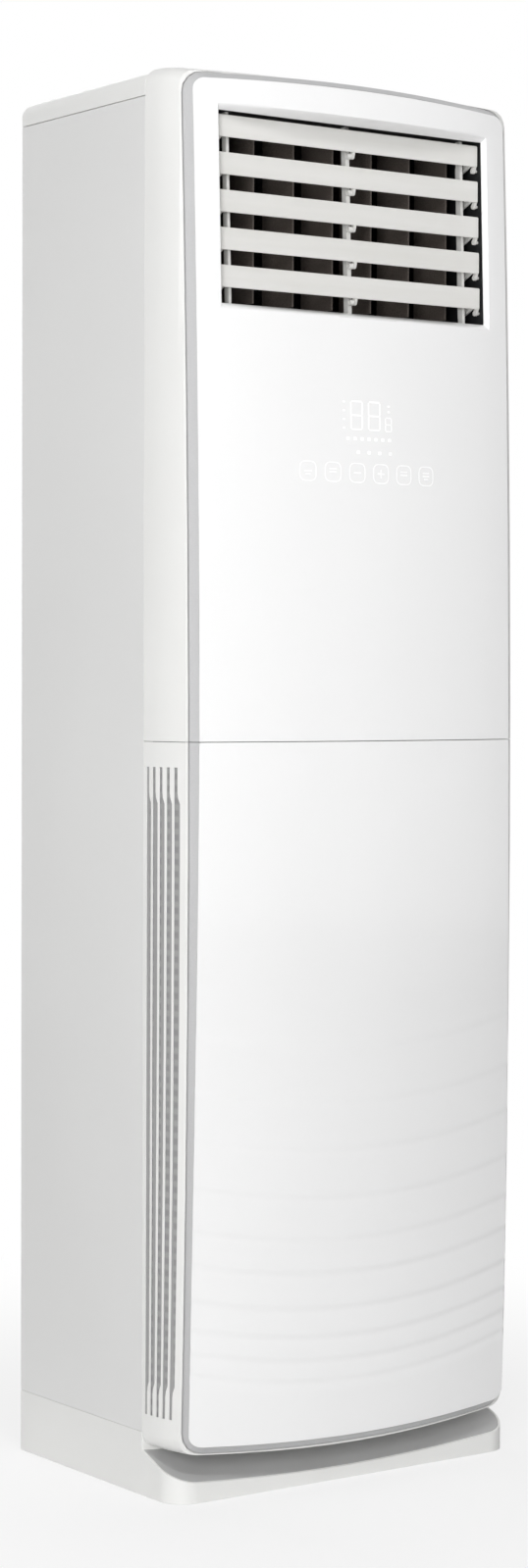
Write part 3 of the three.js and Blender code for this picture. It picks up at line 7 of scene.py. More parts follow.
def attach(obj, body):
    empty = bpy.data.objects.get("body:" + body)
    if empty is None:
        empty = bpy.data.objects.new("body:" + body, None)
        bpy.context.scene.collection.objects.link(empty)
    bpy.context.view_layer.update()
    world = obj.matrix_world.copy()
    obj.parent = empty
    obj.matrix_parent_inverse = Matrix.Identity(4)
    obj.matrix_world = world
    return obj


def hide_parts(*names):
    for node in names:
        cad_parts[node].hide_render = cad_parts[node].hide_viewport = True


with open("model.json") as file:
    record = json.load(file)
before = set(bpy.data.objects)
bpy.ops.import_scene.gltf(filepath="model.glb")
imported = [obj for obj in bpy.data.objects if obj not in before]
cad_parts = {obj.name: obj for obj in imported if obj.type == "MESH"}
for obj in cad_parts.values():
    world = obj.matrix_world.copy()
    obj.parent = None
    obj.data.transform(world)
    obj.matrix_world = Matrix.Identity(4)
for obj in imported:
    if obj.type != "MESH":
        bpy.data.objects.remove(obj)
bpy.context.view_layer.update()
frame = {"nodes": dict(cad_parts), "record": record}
mm = 0.001
mergeWithin = 0.02 * mm  # corners closer than this are one corner
record = frame["record"]
bodyOf = {node: body for body, nodes in record["behaviour"]["bodies"].items() for node in nodes}
slotOf = {part["node"]: part["material_slot"] for part in record["subparts"]}

print("camera")
shot = {
    "place": (-2.4856, -3.4539, 1.0268),
    "azimuth": -35.51,
    "elevation": 1.88,
    "roll": 0.21,
    "lens": 74.11,
    "sensor": 36,
    "clip": (0.05, 100),
}


def addCamera(s):
    data = bpy.data.cameras.new("photoCamera")
    data.sensor_fit = "VERTICAL"
    data.sensor_width = data.sensor_height = s["sensor"]
    data.lens = s["lens"]
    data.clip_start, data.clip_end = s["clip"]
    camera = bpy.data.objects.new("photoCamera", data)
    bpy.context.scene.collection.objects.link(camera)
    a, e = math.radians(s["azimuth"]), math.radians(s["elevation"])
    back = Vector((math.sin(a) * math.cos(e), -math.cos(a) * math.cos(e), math.sin(e)))
    camera.rotation_mode = "QUATERNION"
    turn = Matrix.Rotation(math.radians(s["roll"]), 3, back)
    camera.rotation_quaternion = (turn @ (-back).to_track_quat("-Z", "Y").to_matrix()).to_quaternion()
    camera.location = s["place"]
    bpy.context.scene.camera = camera


addCamera(shot)
bpy.context.scene.view_settings.view_transform = "Standard"

print("materials")


def linear(hexText):
    out = []
    for i in (1, 3, 5):
        c = int(hexText[i:i + 2], 16) / 255
        out.append(c / 12.92 if c <= 0.04045 else ((c + 0.055) / 1.055) ** 2.4)
    return (*out, 1.0)


def addNode(tree, kind, settings=None, inputs=None, links=None):
    # inputs are plain values, links are (socket of this node, socket it comes from)
    node = tree.nodes.new(kind)
    for key, value in (settings or {}).items():
        setattr(node, key, value)
    for key, value in (inputs or {}).items():
        node.inputs[key].default_value = value
    for key, source in (links or {}).items():
        tree.links.new(source, node.inputs[key])
    return node


def newFinish(name, colour, roughness, **sockets):
    # a principled shader with its even values on its own sockets
    material = bpy.data.materials.new(name)
    material.use_nodes = True
    tree = material.node_tree
    shader = tree.nodes["Principled BSDF"]
    shader.inputs["Base Color"].default_value = linear(colour)
    shader.inputs["Roughness"].default_value = roughness
    for key, value in sockets.items():
        shader.inputs[key.replace("_", " ")].default_value = value
    where = addNode(tree, "ShaderNodeTexCoord").outputs["Object"]
    return material, tree, shader, where


def tint(tree, shader, pattern, colours, stops=(0.3, 0.7)):
    ramp = addNode(tree, "ShaderNodeValToRGB", links={"Fac": pattern})
    for element, stop, colour in zip(ramp.color_ramp.elements, stops, colours):
        element.position = stop
        element.color = linear(colour)
    tree.links.new(ramp.outputs["Color"], shader.inputs["Base Color"])


def rough(tree, shader, pattern, low, high):
    spread = addNode(tree, "ShaderNodeMapRange", inputs={"To Min": low, "To Max": high}, links={"Value": pattern})
    tree.links.new(spread.outputs["Result"], shader.inputs["Roughness"])


def relief(tree, shader, pattern, strength, depthMm):
    bump = addNode(tree, "ShaderNodeBump", inputs={"Strength": strength, "Distance": depthMm * mm},
                   links={"Height": pattern})
    tree.links.new(bump.outputs["Normal"], shader.inputs["Normal"])


def noise(tree, where, sizeMm, detail=2, rough=0.5):
    return addNode(tree, "ShaderNodeTexNoise", inputs={"Scale": 1 / (sizeMm * mm), "Detail": detail,
                                                       "Roughness": rough}, links={"Vector": where}).outputs["Fac"]


def makeFinishes():
    made = {}

    # polyester powder coat on sheet steel: satin, with the faint orange peel of a baked powder
    m, t, s, w = newFinish("powderCoatedSteel", "#E8E8E7", 0.4, IOR=1.5)
    tint(t, s, noise(t, w, 420), ("#E6E6E5", "#EAEAE9"))
    rough(t, s, noise(t, w, 30), 0.36, 0.46)
    relief(t, s, noise(t, w, 4), 0.25, 0.12)
    made["painted_steel"] = m

    # ABS from a fine spark-eroded mould: soft white sheen
    m, t, s, w = newFinish("mouldedWhiteAbs", "#EFEFED", 0.36, IOR=1.53)
    tint(t, s, noise(t, w, 300), ("#ECECEA", "#F1F1EF"))
    rough(t, s, noise(t, w, 18), 0.32, 0.42)
    relief(t, s, noise(t, w, 1.6), 0.2, 0.06)
    made["white_plastic"] = m

    # natural white polystyrene from a plain polished mould, never seen by the buyer
    m, t, s, w = newFinish("plainWhitePolystyrene", "#DEDDD8", 0.3, IOR=1.59)
    tint(t, s, noise(t, w, 120), ("#D9D8D2", "#E2E1DC"))
    rough(t, s, noise(t, w, 25), 0.26, 0.38)
    made["inner_white_plastic"] = m

    # high gloss ABS and acrylic skin: deep white with sharp highlights and a very slight moulded waviness
    m, t, s, w = newFinish("glossWhiteAcrylic", "#F9F9F9", 0.16, IOR=1.49, Coat_Weight=0.6, Coat_Roughness=0.05)
    tint(t, s, noise(t, w, 500), ("#F8F8F8", "#FAFAFA"))
    rough(t, s, noise(t, w, 60), 0.14, 0.2)
    relief(t, s, noise(t, w, 90), 0.12, 0.25)
    made["gloss_face"] = m

    # ABS painted in light grey lacquer with a fine mica: cool satin
    m, t, s, w = newFinish("lightGreyLacquer", "#C1C1C2", 0.3, IOR=1.5)
    tint(t, s, noise(t, w, 0.7), ("#BCBCBE", "#C7C7C7"))
    rough(t, s, noise(t, w, 20), 0.26, 0.36)
    made["silver_trim"] = m

    # mid grey polypropylene: dry satin
    m, t, s, w = newFinish("greyPolypropylene", "#BCBCBC", 0.46, IOR=1.49)
    tint(t, s, noise(t, w, 160), ("#B9B9B9", "#BFBFBF"))
    rough(t, s, noise(t, w, 14), 0.42, 0.52)
    relief(t, s, noise(t, w, 1.4), 0.3, 0.08)
    made["grey_plastic"] = m

    # warm light grey ABS of the blades: even satin with faint flow along the length
    m, t, s, w = newFinish("warmGreyAbs", "#E2E1DE", 0.42, IOR=1.53)
    along = addNode(t, "ShaderNodeMapping", inputs={"Scale": (0.06, 1, 1)}, links={"Vector": w}).outputs["Vector"]
    tint(t, s, noise(t, along, 14), ("#DFDEDA", "#E5E4E1"))
    rough(t, s, noise(t, w, 16), 0.38, 0.48)
    relief(t, s, noise(t, w, 1.2), 0.2, 0.05)
    made["blade_plastic"] = m

    # dark brownish grey ABS with a coarse etched grain
    m, t, s, w = newFinish("grainedDarkAbs", "#675E57", 0.62, IOR=1.53)
    tint(t, s, noise(t, w, 1.3, 3, 0.7), ("#524A45", "#7C736C"))
    relief(t, s, noise(t, w, 1.3, 3, 0.7), 0.7, 0.3)
    made["vane_plastic"] = m

    # black polypropylene: low sheen with a faint mould grain
    m, t, s, w = newFinish("blackPolypropylene", "#1C1D1E", 0.5, IOR=1.49)
    tint(t, s, noise(t, w, 60), ("#18191A", "#222324"))
    rough(t, s, noise(t, w, 12), 0.44, 0.6)
    relief(t, s, noise(t, w, 1.5), 0.3, 0.08)
    made["dark_plastic"] = m

    # woven nylon mesh: threads spaced at 2.4 mm so that they show; the real ones are about 0.8 mm apart
    m, t, s, w = newFinish("wovenNylonMesh", "#9B9B9B", 0.6, IOR=1.53)
    weave = []
    for axis in ("Y", "Z"):
        wave = addNode(t, "ShaderNodeTexWave", {"wave_type": "BANDS", "bands_direction": axis},
                       {"Scale": 1 / (20 * 2.4 * mm)}, {"Vector": w})
        weave.append(wave.outputs["Fac"])
    net = addNode(t, "ShaderNodeMath", {"operation": "MAXIMUM"}, links={0: weave[0], 1: weave[1]}).outputs[0]
    tint(t, s, net, ("#929292", "#A2A2A2"), (0.2, 0.8))
    relief(t, s, net, 0.25, 0.2)
    made["filter_mesh"] = m

    # hot dip galvanised sheet: metallic with a spangle of about 9 mm crystals
    m, t, s, w = newFinish("galvanisedSheet", "#B9BDBF", 0.42, Metallic=1.0)
    spangle = addNode(t, "ShaderNodeTexVoronoi", inputs={"Scale": 1 / (9 * mm)}, links={"Vector": w})
    grey = addNode(t, "ShaderNodeSeparateColor", links={"Color": spangle.outputs["Color"]}).outputs["Red"]
    tint(t, s, grey, ("#A9AEB1", "#C9CCCD"), (0.0, 1.0))
    rough(t, s, grey, 0.32, 0.5)
    made["galvanised_steel"] = m

    # zinc plated drawn steel can: soft metallic
    m, t, s, w = newFinish("zincPlatedCan", "#BFC0C1", 0.32, Metallic=1.0)
    tint(t, s, noise(t, w, 8), ("#B4B5B7", "#C8C9CA"))
    rough(t, s, noise(t, w, 3), 0.26, 0.4)
    made["motor_can"] = m

    # black baked enamel on a cast motor shell
    m, t, s, w = newFinish("blackEnamel", "#202122", 0.34, IOR=1.5)
    tint(t, s, noise(t, w, 40), ("#1B1C1D", "#26282A"))
    relief(t, s, noise(t, w, 3), 0.3, 0.12)
    made["motor_black"] = m

    # stacked aluminium fins, 1.8 mm apart: fine upright lines over bare metal, the darker lines being painted shade in
    # the gaps between the fins
    m, t, s, w = newFinish("aluminiumFins", "#C6C9CB", 0.36, Metallic=1.0)
    fins = addNode(t, "ShaderNodeTexWave", {"wave_type": "BANDS", "bands_direction": "X"},
                   {"Scale": 1 / (20 * 1.8 * mm)}, {"Vector": w}).outputs["Fac"]
    tint(t, s, fins, ("#84888B", "#D3D6D8"), (0.1, 0.7))
    relief(t, s, fins, 0.8, 0.5)
    made["coil_aluminium"] = m

    # moulded polystyrene bead foam: 3.5 mm beads pressed together, darker towards each bead's edge as painted shade in
    # the creases between the beads
    m, t, s, w = newFinish("beadFoam", "#262626", 0.8, IOR=1.4)
    beads = addNode(t, "ShaderNodeTexVoronoi", inputs={"Scale": 1 / (3.5 * mm)}, links={"Vector": w})
    tint(t, s, beads.outputs["Distance"], ("#303030", "#1A1A1A"), (0.1, 0.8))
    relief(t, s, beads.outputs["Distance"], -0.6, 0.6)
    made["foam"] = m

    # drawn copper tube with a light tarnish
    m, t, s, w = newFinish("drawnCopper", "#C07A52", 0.28, Metallic=1.0)
    tint(t, s, noise(t, w, 22, 3), ("#A8643F", "#CF8C64"))
    rough(t, s, noise(t, w, 9), 0.22, 0.42)
    made["copper"] = m

    # glass epoxy board under green solder mask, with lighter copper runs beneath
    m, t, s, w = newFinish("solderMask", "#1F6A3B", 0.3, IOR=1.5)
    runs = addNode(t, "ShaderNodeTexBrick", {"offset": 0.35},
                   {"Scale": 1 / (40 * mm), "Mortar Size": 0.012, "Color1": linear("#1C6236"),
                    "Color2": linear("#1F6B3C"), "Mortar": linear("#3C9A5E")}, {"Vector": w})
    t.links.new(runs.outputs["Color"], s.inputs["Base Color"])
    made["circuit_board"] = m
    return made


finishes = makeFinishes()

print("cad nodes")


def wear(piece, slot):
    piece.data.materials.clear()
    piece.data.materials.append(finishes[slot])


def activate(piece):
    bpy.ops.object.select_all(action="DESELECT")
    piece.select_set(True)
    bpy.context.view_layer.objects.active = piece


def joined(pieces, name):
    # several meshes made into the first of them, which gets the name
    bpy.ops.object.select_all(action="DESELECT")
    for piece in pieces:
        piece.select_set(True)
    bpy.context.view_layer.objects.active = pieces[0]
    bpy.ops.object.join()
    pieces[0].name = name
    return pieces[0]


def editAll(piece):
    activate(piece)
    bpy.ops.object.mode_set(mode="EDIT")
    bpy.ops.mesh.select_all(action="SELECT")


def editDone():
    bpy.ops.object.mode_set(mode="OBJECT")


def applyModifier(piece, kind, **settings):
    activate(piece)
    modifier = piece.modifiers.new(kind.title(), kind)
    for key, value in settings.items():
        setattr(modifier, key, value)
    bpy.ops.object.modifier_apply(modifier=modifier.name)


def smoothAll(piece, degrees):
    activate(piece)
    bpy.ops.object.shade_smooth_by_angle(angle=math.radians(degrees))


def settle(piece, body, slot, *stoodFor):
    wear(piece, slot)
    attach(piece, body)
    if stoodFor:
        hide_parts(*stoodFor)


def refinedCopy(node, pieceName, degrees, edgeMm, reshape=None):
    # the node's own shape with its triangles merged, its small edges broken and its rounds shaded smooth
    data = frame["nodes"][node].data.copy()
    piece = bpy.data.objects.new(pieceName, data)
    bpy.context.scene.collection.objects.link(piece)
    editAll(piece)
    bpy.ops.mesh.remove_doubles(threshold=mergeWithin)
    bpy.ops.mesh.dissolve_limited(angle_limit=math.radians(0.25))
    editDone()
    if reshape:
        reshape(piece)
    if edgeMm:
        applyModifier(piece, "BEVEL", width=edgeMm * mm, segments=2, limit_method="ANGLE",
                      angle_limit=math.radians(50), use_clamp_overlap=True)
    smoothAll(piece, degrees)
    applyModifier(piece, "WEIGHTED_NORMAL", keep_sharp=True, weight=60)
    settle(piece, bodyOf[node], slotOf[node], node)


# node: (piece name, angle up to which edges shade smooth, broken edge in mm)
refined = {
    "base_tray": ("baseTray", 35, 0.6),
    "kick_ramp": ("kickRamp", 35, 0.5),
    "top_cover": ("topCover", 35, 0.5),
    "upper_front_shell": ("upperShell", 32, 0.0),
    "lower_front_shell": ("lowerShell", 32, 0.0),
    "pipe_hole_plug": ("pipePlug", 35, 0.5),
    "outlet_frame": ("outletFrame", 35, 0.0),
    "rear_panel": ("rearPanel", 35, 0.3),
    "side_panel_left": ("sidePanelLeft", 35, 0.3),
    "side_panel_right": ("sidePanelRight", 35, 0.3),
    "blade_link_left": ("bladeLinkLeft", 50, 0.2),
    "blade_link_right": ("bladeLinkRight", 50, 0.2),
    "vane_link": ("vaneLink", 50, 0.2),
    "fan_volute": ("fanVolute", 35, 0.0),
    "inlet_ring": ("inletRing", 35, 0.0),
    "impeller": ("impellerWheel", 35, 0.0),
    "fan_motor": ("fanMotor", 35, 0.8),
    "blade_motor": ("bladeMotor", 40, 0.4),
    "vane_motor": ("vaneMotor", 40, 0.4),
    "gas_pipe": ("gasPipe", 50, 0.0),
    "liquid_pipe": ("liquidPipe", 50, 0.0),
    "drain_pan": ("drainPan", 35, 0.6),
    "air_guide": ("airGuide", 35, 1.0),
    "coil_end_right": ("coilEndRight", 50, 0.0),
    "motor_bracket": ("motorBracket", 35, 0.0),
}
for i in range(1, 6):
    refined[f"blade_{i}"] = (f"blade{i}", 45, 0.3)
for i in range(1, 8):
    refined[f"vane_{i}"] = (f"vane{i}", 45, 0.3)
for node, (pieceName, degrees, edgeMm) in refined.items():
    refinedCopy(node, pieceName, degrees, edgeMm)

for node, cadObject in frame["nodes"].items():
    wear(cadObject, slotOf[node])

print("outlet posts")
posts = {"half": 2.4, "middleHalf": 3.4, "side": 186, "behind": -134, "low": 1489, "high": 1727}


def paintPosts(piece, s):
    # the three posts behind the blades are moulded in the blades' light grey, the rest of the frame is black
    piece.data.materials.append(finishes["blade_plastic"])
    for p in piece.data.polygons:
        c = p.center / mm
        onMiddle = abs(c.x) < s["middleHalf"]
        onSide = abs(abs(c.x) - s["side"]) < s["half"]
        if (onMiddle or onSide) and c.y < s["behind"] and s["low"] < c.z < s["high"]:
            p.material_index = 1


paintPosts(bpy.data.objects["outletFrame"], posts)

print("gloss faces")
glossFace = {
    "front": -202.5,
    "planRadius": 1343,
    "sideRadius": 22727,
    "bowHeight": 800,
    "half": 243,
    "corner": 15,
    "top": 1769,
    "topCrown": 5.5,
    "bottom": 62.5,
    "bottomCrown": 9,
    "seamLow": 947.1,
    "seamHigh": 947.9,
    "wall": 3,
    "edge": 0.7,
    "spread": (3.2, 5.2, 1100, 900),  # wider by 3.2 mm, and from 1100 mm down by up to 5.2 mm more
    "spreadFrom": 213.5,
    "columns": 72,
    "rows": 420,
    "rowsBelow": 40,  # of the upper face: under, beside and over the hole
    "rowsBeside": 30,
    "rowsAbove": 10,
    "columnsAcross": 60,
}
trimFrame = {
    "outer": 254.6,
    "corner": 26.6,
    "top": 1776.6,
    "bottom": 53.4,
    "bevel": 11.3,
    "lift": 4,  # how far the inner edge rises at the top, with the gloss face
    "liftFrom": 1734.5,
    "liftFull": 1765,
    "gap": 1.2,  # the shadow groove round the frame is wider by this
}
outletHole = {
    "half": 208.5, "low": 1489.5, "high": 1727,  # at the back of the collar
    "wide": 213.5, "bottom": 1480.5, "top": 1734.5,  # at the face
    "depth": 8, "lean": 0.0353,
    "profile": [(0, 0), (0.22, 0.08), (0.45, 0.24), (0.66, 0.46), (0.84, 0.72), (0.95, 0.9), (1, 1)],
}
waves = {
    "crests": [131, 148, 175, 205, 241, 286, 329, 382, 443, 503, 572],  # heights at x = -130
    "climb": 0.00044,
    "measuredAt": -130,
    "depth": 3.2,
    "step": 11,
}


def bow(offset, radius):
    return radius - math.sqrt(radius * radius - offset * offset)


def faceY(x, z):
    g = glossFace
    return g["front"] + bow(x, g["planRadius"]) + bow(z - g["bowHeight"], g["sideRadius"])


def softStep(t):
    t = min(1, max(0, t))
    return t * t * (3 - 2 * t)


def spread(start, end, count):
    return [start + (end - start) * i / count for i in range(count + 1)]


def widened(x, z):
    # the gloss faces and the inner edge of their frame reach further out towards the foot
    g = glossFace
    least, more, start, length = g["spread"]
    share = min(1, max(0, (abs(x) - g["spreadFrom"]) / (g["half"] - g["spreadFrom"])))
    return x + math.copysign((least + more * softStep((start - z) / length)) * share, x)


def cornerDrop(x):
    over = abs(x) - (glossFace["half"] - glossFace["corner"])
    return 0 if over <= 0 else glossFace["corner"] - math.sqrt(max(0, glossFace["corner"] ** 2 - over ** 2))


def topEdge(x):
    return glossFace["top"] - glossFace["topCrown"] * (x / glossFace["half"]) ** 2 - cornerDrop(x)


def bottomEdge(x):
    return glossFace["bottom"] + glossFace["bottomCrown"] * (x / glossFace["half"]) ** 2 + cornerDrop(x)


def cornerColumns():
    # closer together where the corner turns
    flat = glossFace["half"] - glossFace["corner"]
    return [flat] + [flat + glossFace["corner"] * math.sin(math.radians(a)) for a in (11, 23, 34, 45, 56, 67, 79, 90)]


def insideFrame(x, z):
    # how far a point lies inside the outer edge of the frame
    f, g = trimFrame, glossFace
    crown = (x / g["half"]) ** 2
    top = f["top"] - g["topCrown"] * crown
    bottom = f["bottom"] + g["bottomCrown"] * crown
    overX = abs(x) - (f["outer"] - f["corner"])
    overZ = max(z - (top - f["corner"]), bottom + f["corner"] - z)
    if overX > 0 and overZ > 0:
        return f["corner"] - math.hypot(overX, overZ)
    return min(f["outer"] - abs(x), top - z, z - bottom)


def fitFrame(piece):
    # the bevelled frame follows the edge of the gloss faces, and leaves a clear shadow groove outside
    f = trimFrame
    for v in piece.data.vertices:
        x, y, z = (c / mm for c in v.co)
        share = min(1, max(0, insideFrame(x, z) / f["bevel"]))
        newX = x + (widened(x, z) - x) * share
        upShare = min(1, max(0, (z - f["liftFrom"]) / (f["liftFull"] - f["liftFrom"])))
        newZ = z + f["lift"] * share * upShare
        if share < 0.1 and abs(x) > f["outer"] - f["corner"]:
            newX -= math.copysign(f["gap"], x) * softStep((abs(x) - f["outer"] + f["corner"]) / f["corner"])
        v.co = (newX * mm, (y + faceY(newX, newZ) - faceY(x, z)) * mm, newZ * mm)


refinedCopy("upper_trim", "upperTrim", 28, 0.0, fitFrame)
refinedCopy("lower_trim", "lowerTrim", 28, 0.0, fitFrame)


def waveDepth(x, z):
    # the face leans back slowly from one crest to the next and comes forward in a short soft step
    level = z - waves["climb"] * (x ** 2 - waves["measuredAt"] ** 2)
    crests = waves["crests"]
    for low, high in zip(crests, crests[1:]):
        if low <= level < high:
            fade = 1 - 0.7 * (level - crests[0]) / (crests[-1] - crests[0])
            rise = ((level - low) / (high - low)) ** 1.4
            return waves["depth"] * fade * rise * softStep((high - level) / waves["step"])
    return 0


def makeGrid(name, columns, rows, placeOf):
    # a grid primitive whose columns and rows are moved to their places, given in mm
    bpy.ops.object.select_all(action="DESELECT")
    bpy.ops.mesh.primitive_grid_add(x_subdivisions=columns - 1, y_subdivisions=rows - 1, size=2)
    piece = bpy.context.object
    piece.name = name
    for v in piece.data.vertices:
        column = round((v.co.x + 1) / 2 * (columns - 1))
        row = round((v.co.y + 1) / 2 * (rows - 1))
        v.co = [c * mm for c in placeOf(column, row)]
    return piece


def turnToFront(piece):
    if sum(p.normal.y * p.area for p in piece.data.polygons) > 0:
        editAll(piece)
        bpy.ops.mesh.flip_normals()
        editDone()


def finishSkin(piece, thick, edge, degrees):
    turnToFront(piece)
    applyModifier(piece, "SOLIDIFY", thickness=thick * mm, offset=-1, use_even_offset=True)
    applyModifier(piece, "BEVEL", width=edge * mm, segments=3, limit_method="ANGLE",
                  angle_limit=math.radians(55), use_clamp_overlap=False)
    smoothAll(piece, degrees)
    applyModifier(piece, "WEIGHTED_NORMAL", keep_sharp=True, weight=50)


def makeLowerFace():
    turn = cornerColumns()
    xs = [-x for x in reversed(turn)] + spread(-turn[0], turn[0], glossFace["columns"])[1:-1] + turn
    rows = glossFace["rows"]

    def placeOf(column, row):
        x, share = xs[column], row / (rows - 1)
        low = bottomEdge(x)
        # the rows lie closer together where the waves are
        z = low + (glossFace["seamLow"] - low) * (0.5 * share + 0.5 * share * share)
        wide = widened(x, z)
        return wide, faceY(wide, z) + waveDepth(wide, z), z

    piece = makeGrid("lowerFace", len(xs), rows, placeOf)
    finishSkin(piece, glossFace["wall"], glossFace["edge"], 40)
    settle(piece, "lower_front", "gloss_face", "lower_face_panel")


def makeUpperFace():
    h, g = outletHole, glossFace
    across = spread(-h["wide"], h["wide"], g["columnsAcross"])
    xs = [-x for x in reversed(cornerColumns())] + across + cornerColumns()
    below = spread(g["seamHigh"], h["bottom"], g["rowsBelow"])
    beside = spread(h["bottom"], h["top"], g["rowsBeside"])
    aboveRows = g["rowsAbove"]
    rows = len(below) + len(beside) - 1 + aboveRows

    def placeOf(column, row):
        x = xs[column]
        if row < len(below):
            z = below[row]
        elif row < len(below) + len(beside) - 1:
            z = beside[row - len(below) + 1]
        else:
            share = (row - len(below) - len(beside) + 2) / aboveRows
            z = h["top"] + (topEdge(x) - h["top"]) * share
        wide = widened(x, z)
        return wide, faceY(wide, z), z

    piece = makeGrid("upperFace", len(xs), rows, placeOf)
    activate(piece)
    bpy.ops.object.mode_set(mode="EDIT")
    bpy.ops.mesh.select_mode(type="FACE")
    bpy.ops.mesh.select_all(action="DESELECT")
    editDone()
    for p in piece.data.polygons:
        c = p.center / mm
        p.select = abs(c.x) < h["wide"] and h["bottom"] < c.z < h["top"]
    bpy.ops.object.mode_set(mode="EDIT")
    bpy.ops.mesh.delete(type="FACE")
    editDone()
    turnToFront(piece)

    # the collar leads from the hole in the face to the plane of the opening in a soft hollow
    ring = [(x, h["bottom"]) for x in across] + [(h["wide"], z) for z in beside[1:]]
    ring += [(x, h["top"]) for x in reversed(across[:-1])] + [(-h["wide"], z) for z in reversed(beside[:-1])]

    def collarPlace(column, row):
        x, z = ring[column]
        inwards, backwards = h["profile"][row]
        endX = x * h["half"] / h["wide"]
        endZ = h["low"] + (z - h["bottom"]) / (h["top"] - h["bottom"]) * (h["high"] - h["low"])
        endY = faceY(h["half"], h["low"]) + h["depth"] + (endZ - h["low"]) * h["lean"]
        y = faceY(x, z)
        return x + (endX - x) * inwards, y + (endY - y) * backwards, z + (endZ - z) * inwards

    collar = makeGrid("collar", len(ring), len(h["profile"]), collarPlace)
    joined([piece, collar], "upperFace")
    editAll(piece)
    bpy.ops.mesh.remove_doubles(threshold=mergeWithin)
    bpy.ops.mesh.select_all(action="SELECT")
    bpy.ops.mesh.normals_make_consistent(inside=False)
    editDone()
    finishSkin(piece, glossFace["wall"], glossFace["edge"], 42)
    settle(piece, "cabinet", "gloss_face", "upper_face_panel")


makeLowerFace()
makeUpperFace()

print("display")
display = {
    "line": 1.9,
    "thick": 0.12,
    "proud": 0.06,
    "digits": [(-29, -9.5, 1340, 1377), (-1.3, 18.7, 1340, 1377)],
    "smallDigit": (26, 37, 1339.5, 1358),
    "dots": [(-39, 1375), (-39, 1364), (-39, 1353), (-39, 1342), (32, 1372), (32, 1365)],
    "rows": [(1329, [-33, -22, -11, 0, 11, 22, 33]), (1312, [-17, 0, 17, 34])],
    "dotHalf": (2, 1.2),
    "markHalf": (2.6, 2.2),
    "keys": [-93.75, -56.25, -18.75, 18.75, 56.25, 93.75],
    "keyHeight": 1286,
    "keySize": 25,
    "keyLine": 1.1,
    # strokes in the keys: which keys have them, then left, right, low and high from the key's middle
    "strokes": [
        ((0, 1, 2, 3, 4, 5), (-5.5, 5.5, -0.8, 0.8)),
        ((3,), (-0.8, 0.8, -5.5, 5.5)),
        ((1, 4, 5), (-5.5, 5.5, 3.2, 4.6)),
        ((0, 5), (-3.5, 3.5, -4.6, -3.2)),
    ],
}


def printedMark(x0, x1, z0, z1):
    # a flat stroke of print with round corners
    bpy.ops.object.select_all(action="DESELECT")
    bpy.ops.mesh.primitive_plane_add(size=1)
    mark = bpy.context.object
    wide, high = (x1 - x0) * mm, (z1 - z0) * mm
    middle = Vector(((x0 + x1) / 2 * mm, 0, (z0 + z1) / 2 * mm))
    for v in mark.data.vertices:
        v.co = Vector((v.co.x * wide, 0, v.co.y * high)) + middle
    editAll(mark)
    bpy.ops.mesh.bevel(offset=min(wide, high) * 0.3, segments=3, affect="VERTICES")
    editDone()
    return mark


def hollowOut(mark, line):
    editAll(mark)
    bpy.ops.mesh.select_mode(type="FACE")
    bpy.ops.mesh.inset(thickness=line * mm)
    bpy.ops.mesh.delete(type="FACE")
    editDone()


def sevenBars(x0, x1, z0, z1, line):
    middle, half = (z0 + z1) / 2, line / 2
    bars = [(x0 + line, x1 - line, z - half, z + half) for z in (z0 + half, middle, z1 - half)]
    for x in (x0, x1 - line):
        bars.append((x, x + line, z0 + line, middle - half * 0.6))
        bars.append((x, x + line, middle + half * 0.6, z1 - line))
    return [printedMark(*bar) for bar in bars]


def makeDisplay(d):
    marks = []
    for digit in d["digits"]:
        marks += sevenBars(*digit, d["line"])
    marks += sevenBars(*d["smallDigit"], d["line"] * 0.7)
    places = [(x, z, *d["dotHalf"]) for x, z in d["dots"]]
    places += [(x, z, *d["markHalf"]) for z, xs in d["rows"] for x in xs]
    marks += [printedMark(x - wide, x + wide, z - high, z + high) for x, z, wide, high in places]
    z, half = d["keyHeight"], d["keySize"] / 2
    for i, x in enumerate(d["keys"]):
        key = printedMark(x - half, x + half, z - half, z + half)
        hollowOut(key, d["keyLine"])
        marks.append(key)
        for keys, (left, right, low, high) in d["strokes"]:
            if i in keys:
                marks.append(printedMark(x + left, x + right, z + low, z + high))
    piece = joined(marks, "displayPrint")
    for v in piece.data.vertices:
        x, z = v.co.x / mm, v.co.z / mm
        v.co.y = (faceY(x, z) - d["proud"]) * mm
    turnToFront(piece)
    applyModifier(piece, "SOLIDIFY", thickness=d["thick"] * mm, offset=-1)
    piece.data.materials.clear()
    piece.data.materials.append(glowPaintedPrint())
    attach(piece, "cabinet")


def glowPaintedPrint():
    # digits and key outlines printed in white, with a painted glow from a weak emission that makes them stand lighter
    # than the face around them
    m, t, s, w = newFinish("printWithPaintedGlow", "#FAFAFA", 0.3, IOR=1.49, Emission_Strength=0.16)
    s.inputs["Emission Color"].default_value = (1, 1, 1, 1)
    tint(t, s, noise(t, w, 3), ("#F4F4F4", "#FFFFFF"))
    return m


makeDisplay(display)

print("screws")
screwSize = {"head": 4.2, "rise": 2.2, "round": 1.1, "slot": 1.1, "reach": 2.6, "cut": 2.4}
screwPlaces = [(x, z) for x in (-259, 259) for z in (110, 420, 760, 1100, 1440, 1715)]
screwPlaces += [(x, z) for x in (-140, 140) for z in (95, 1730)]


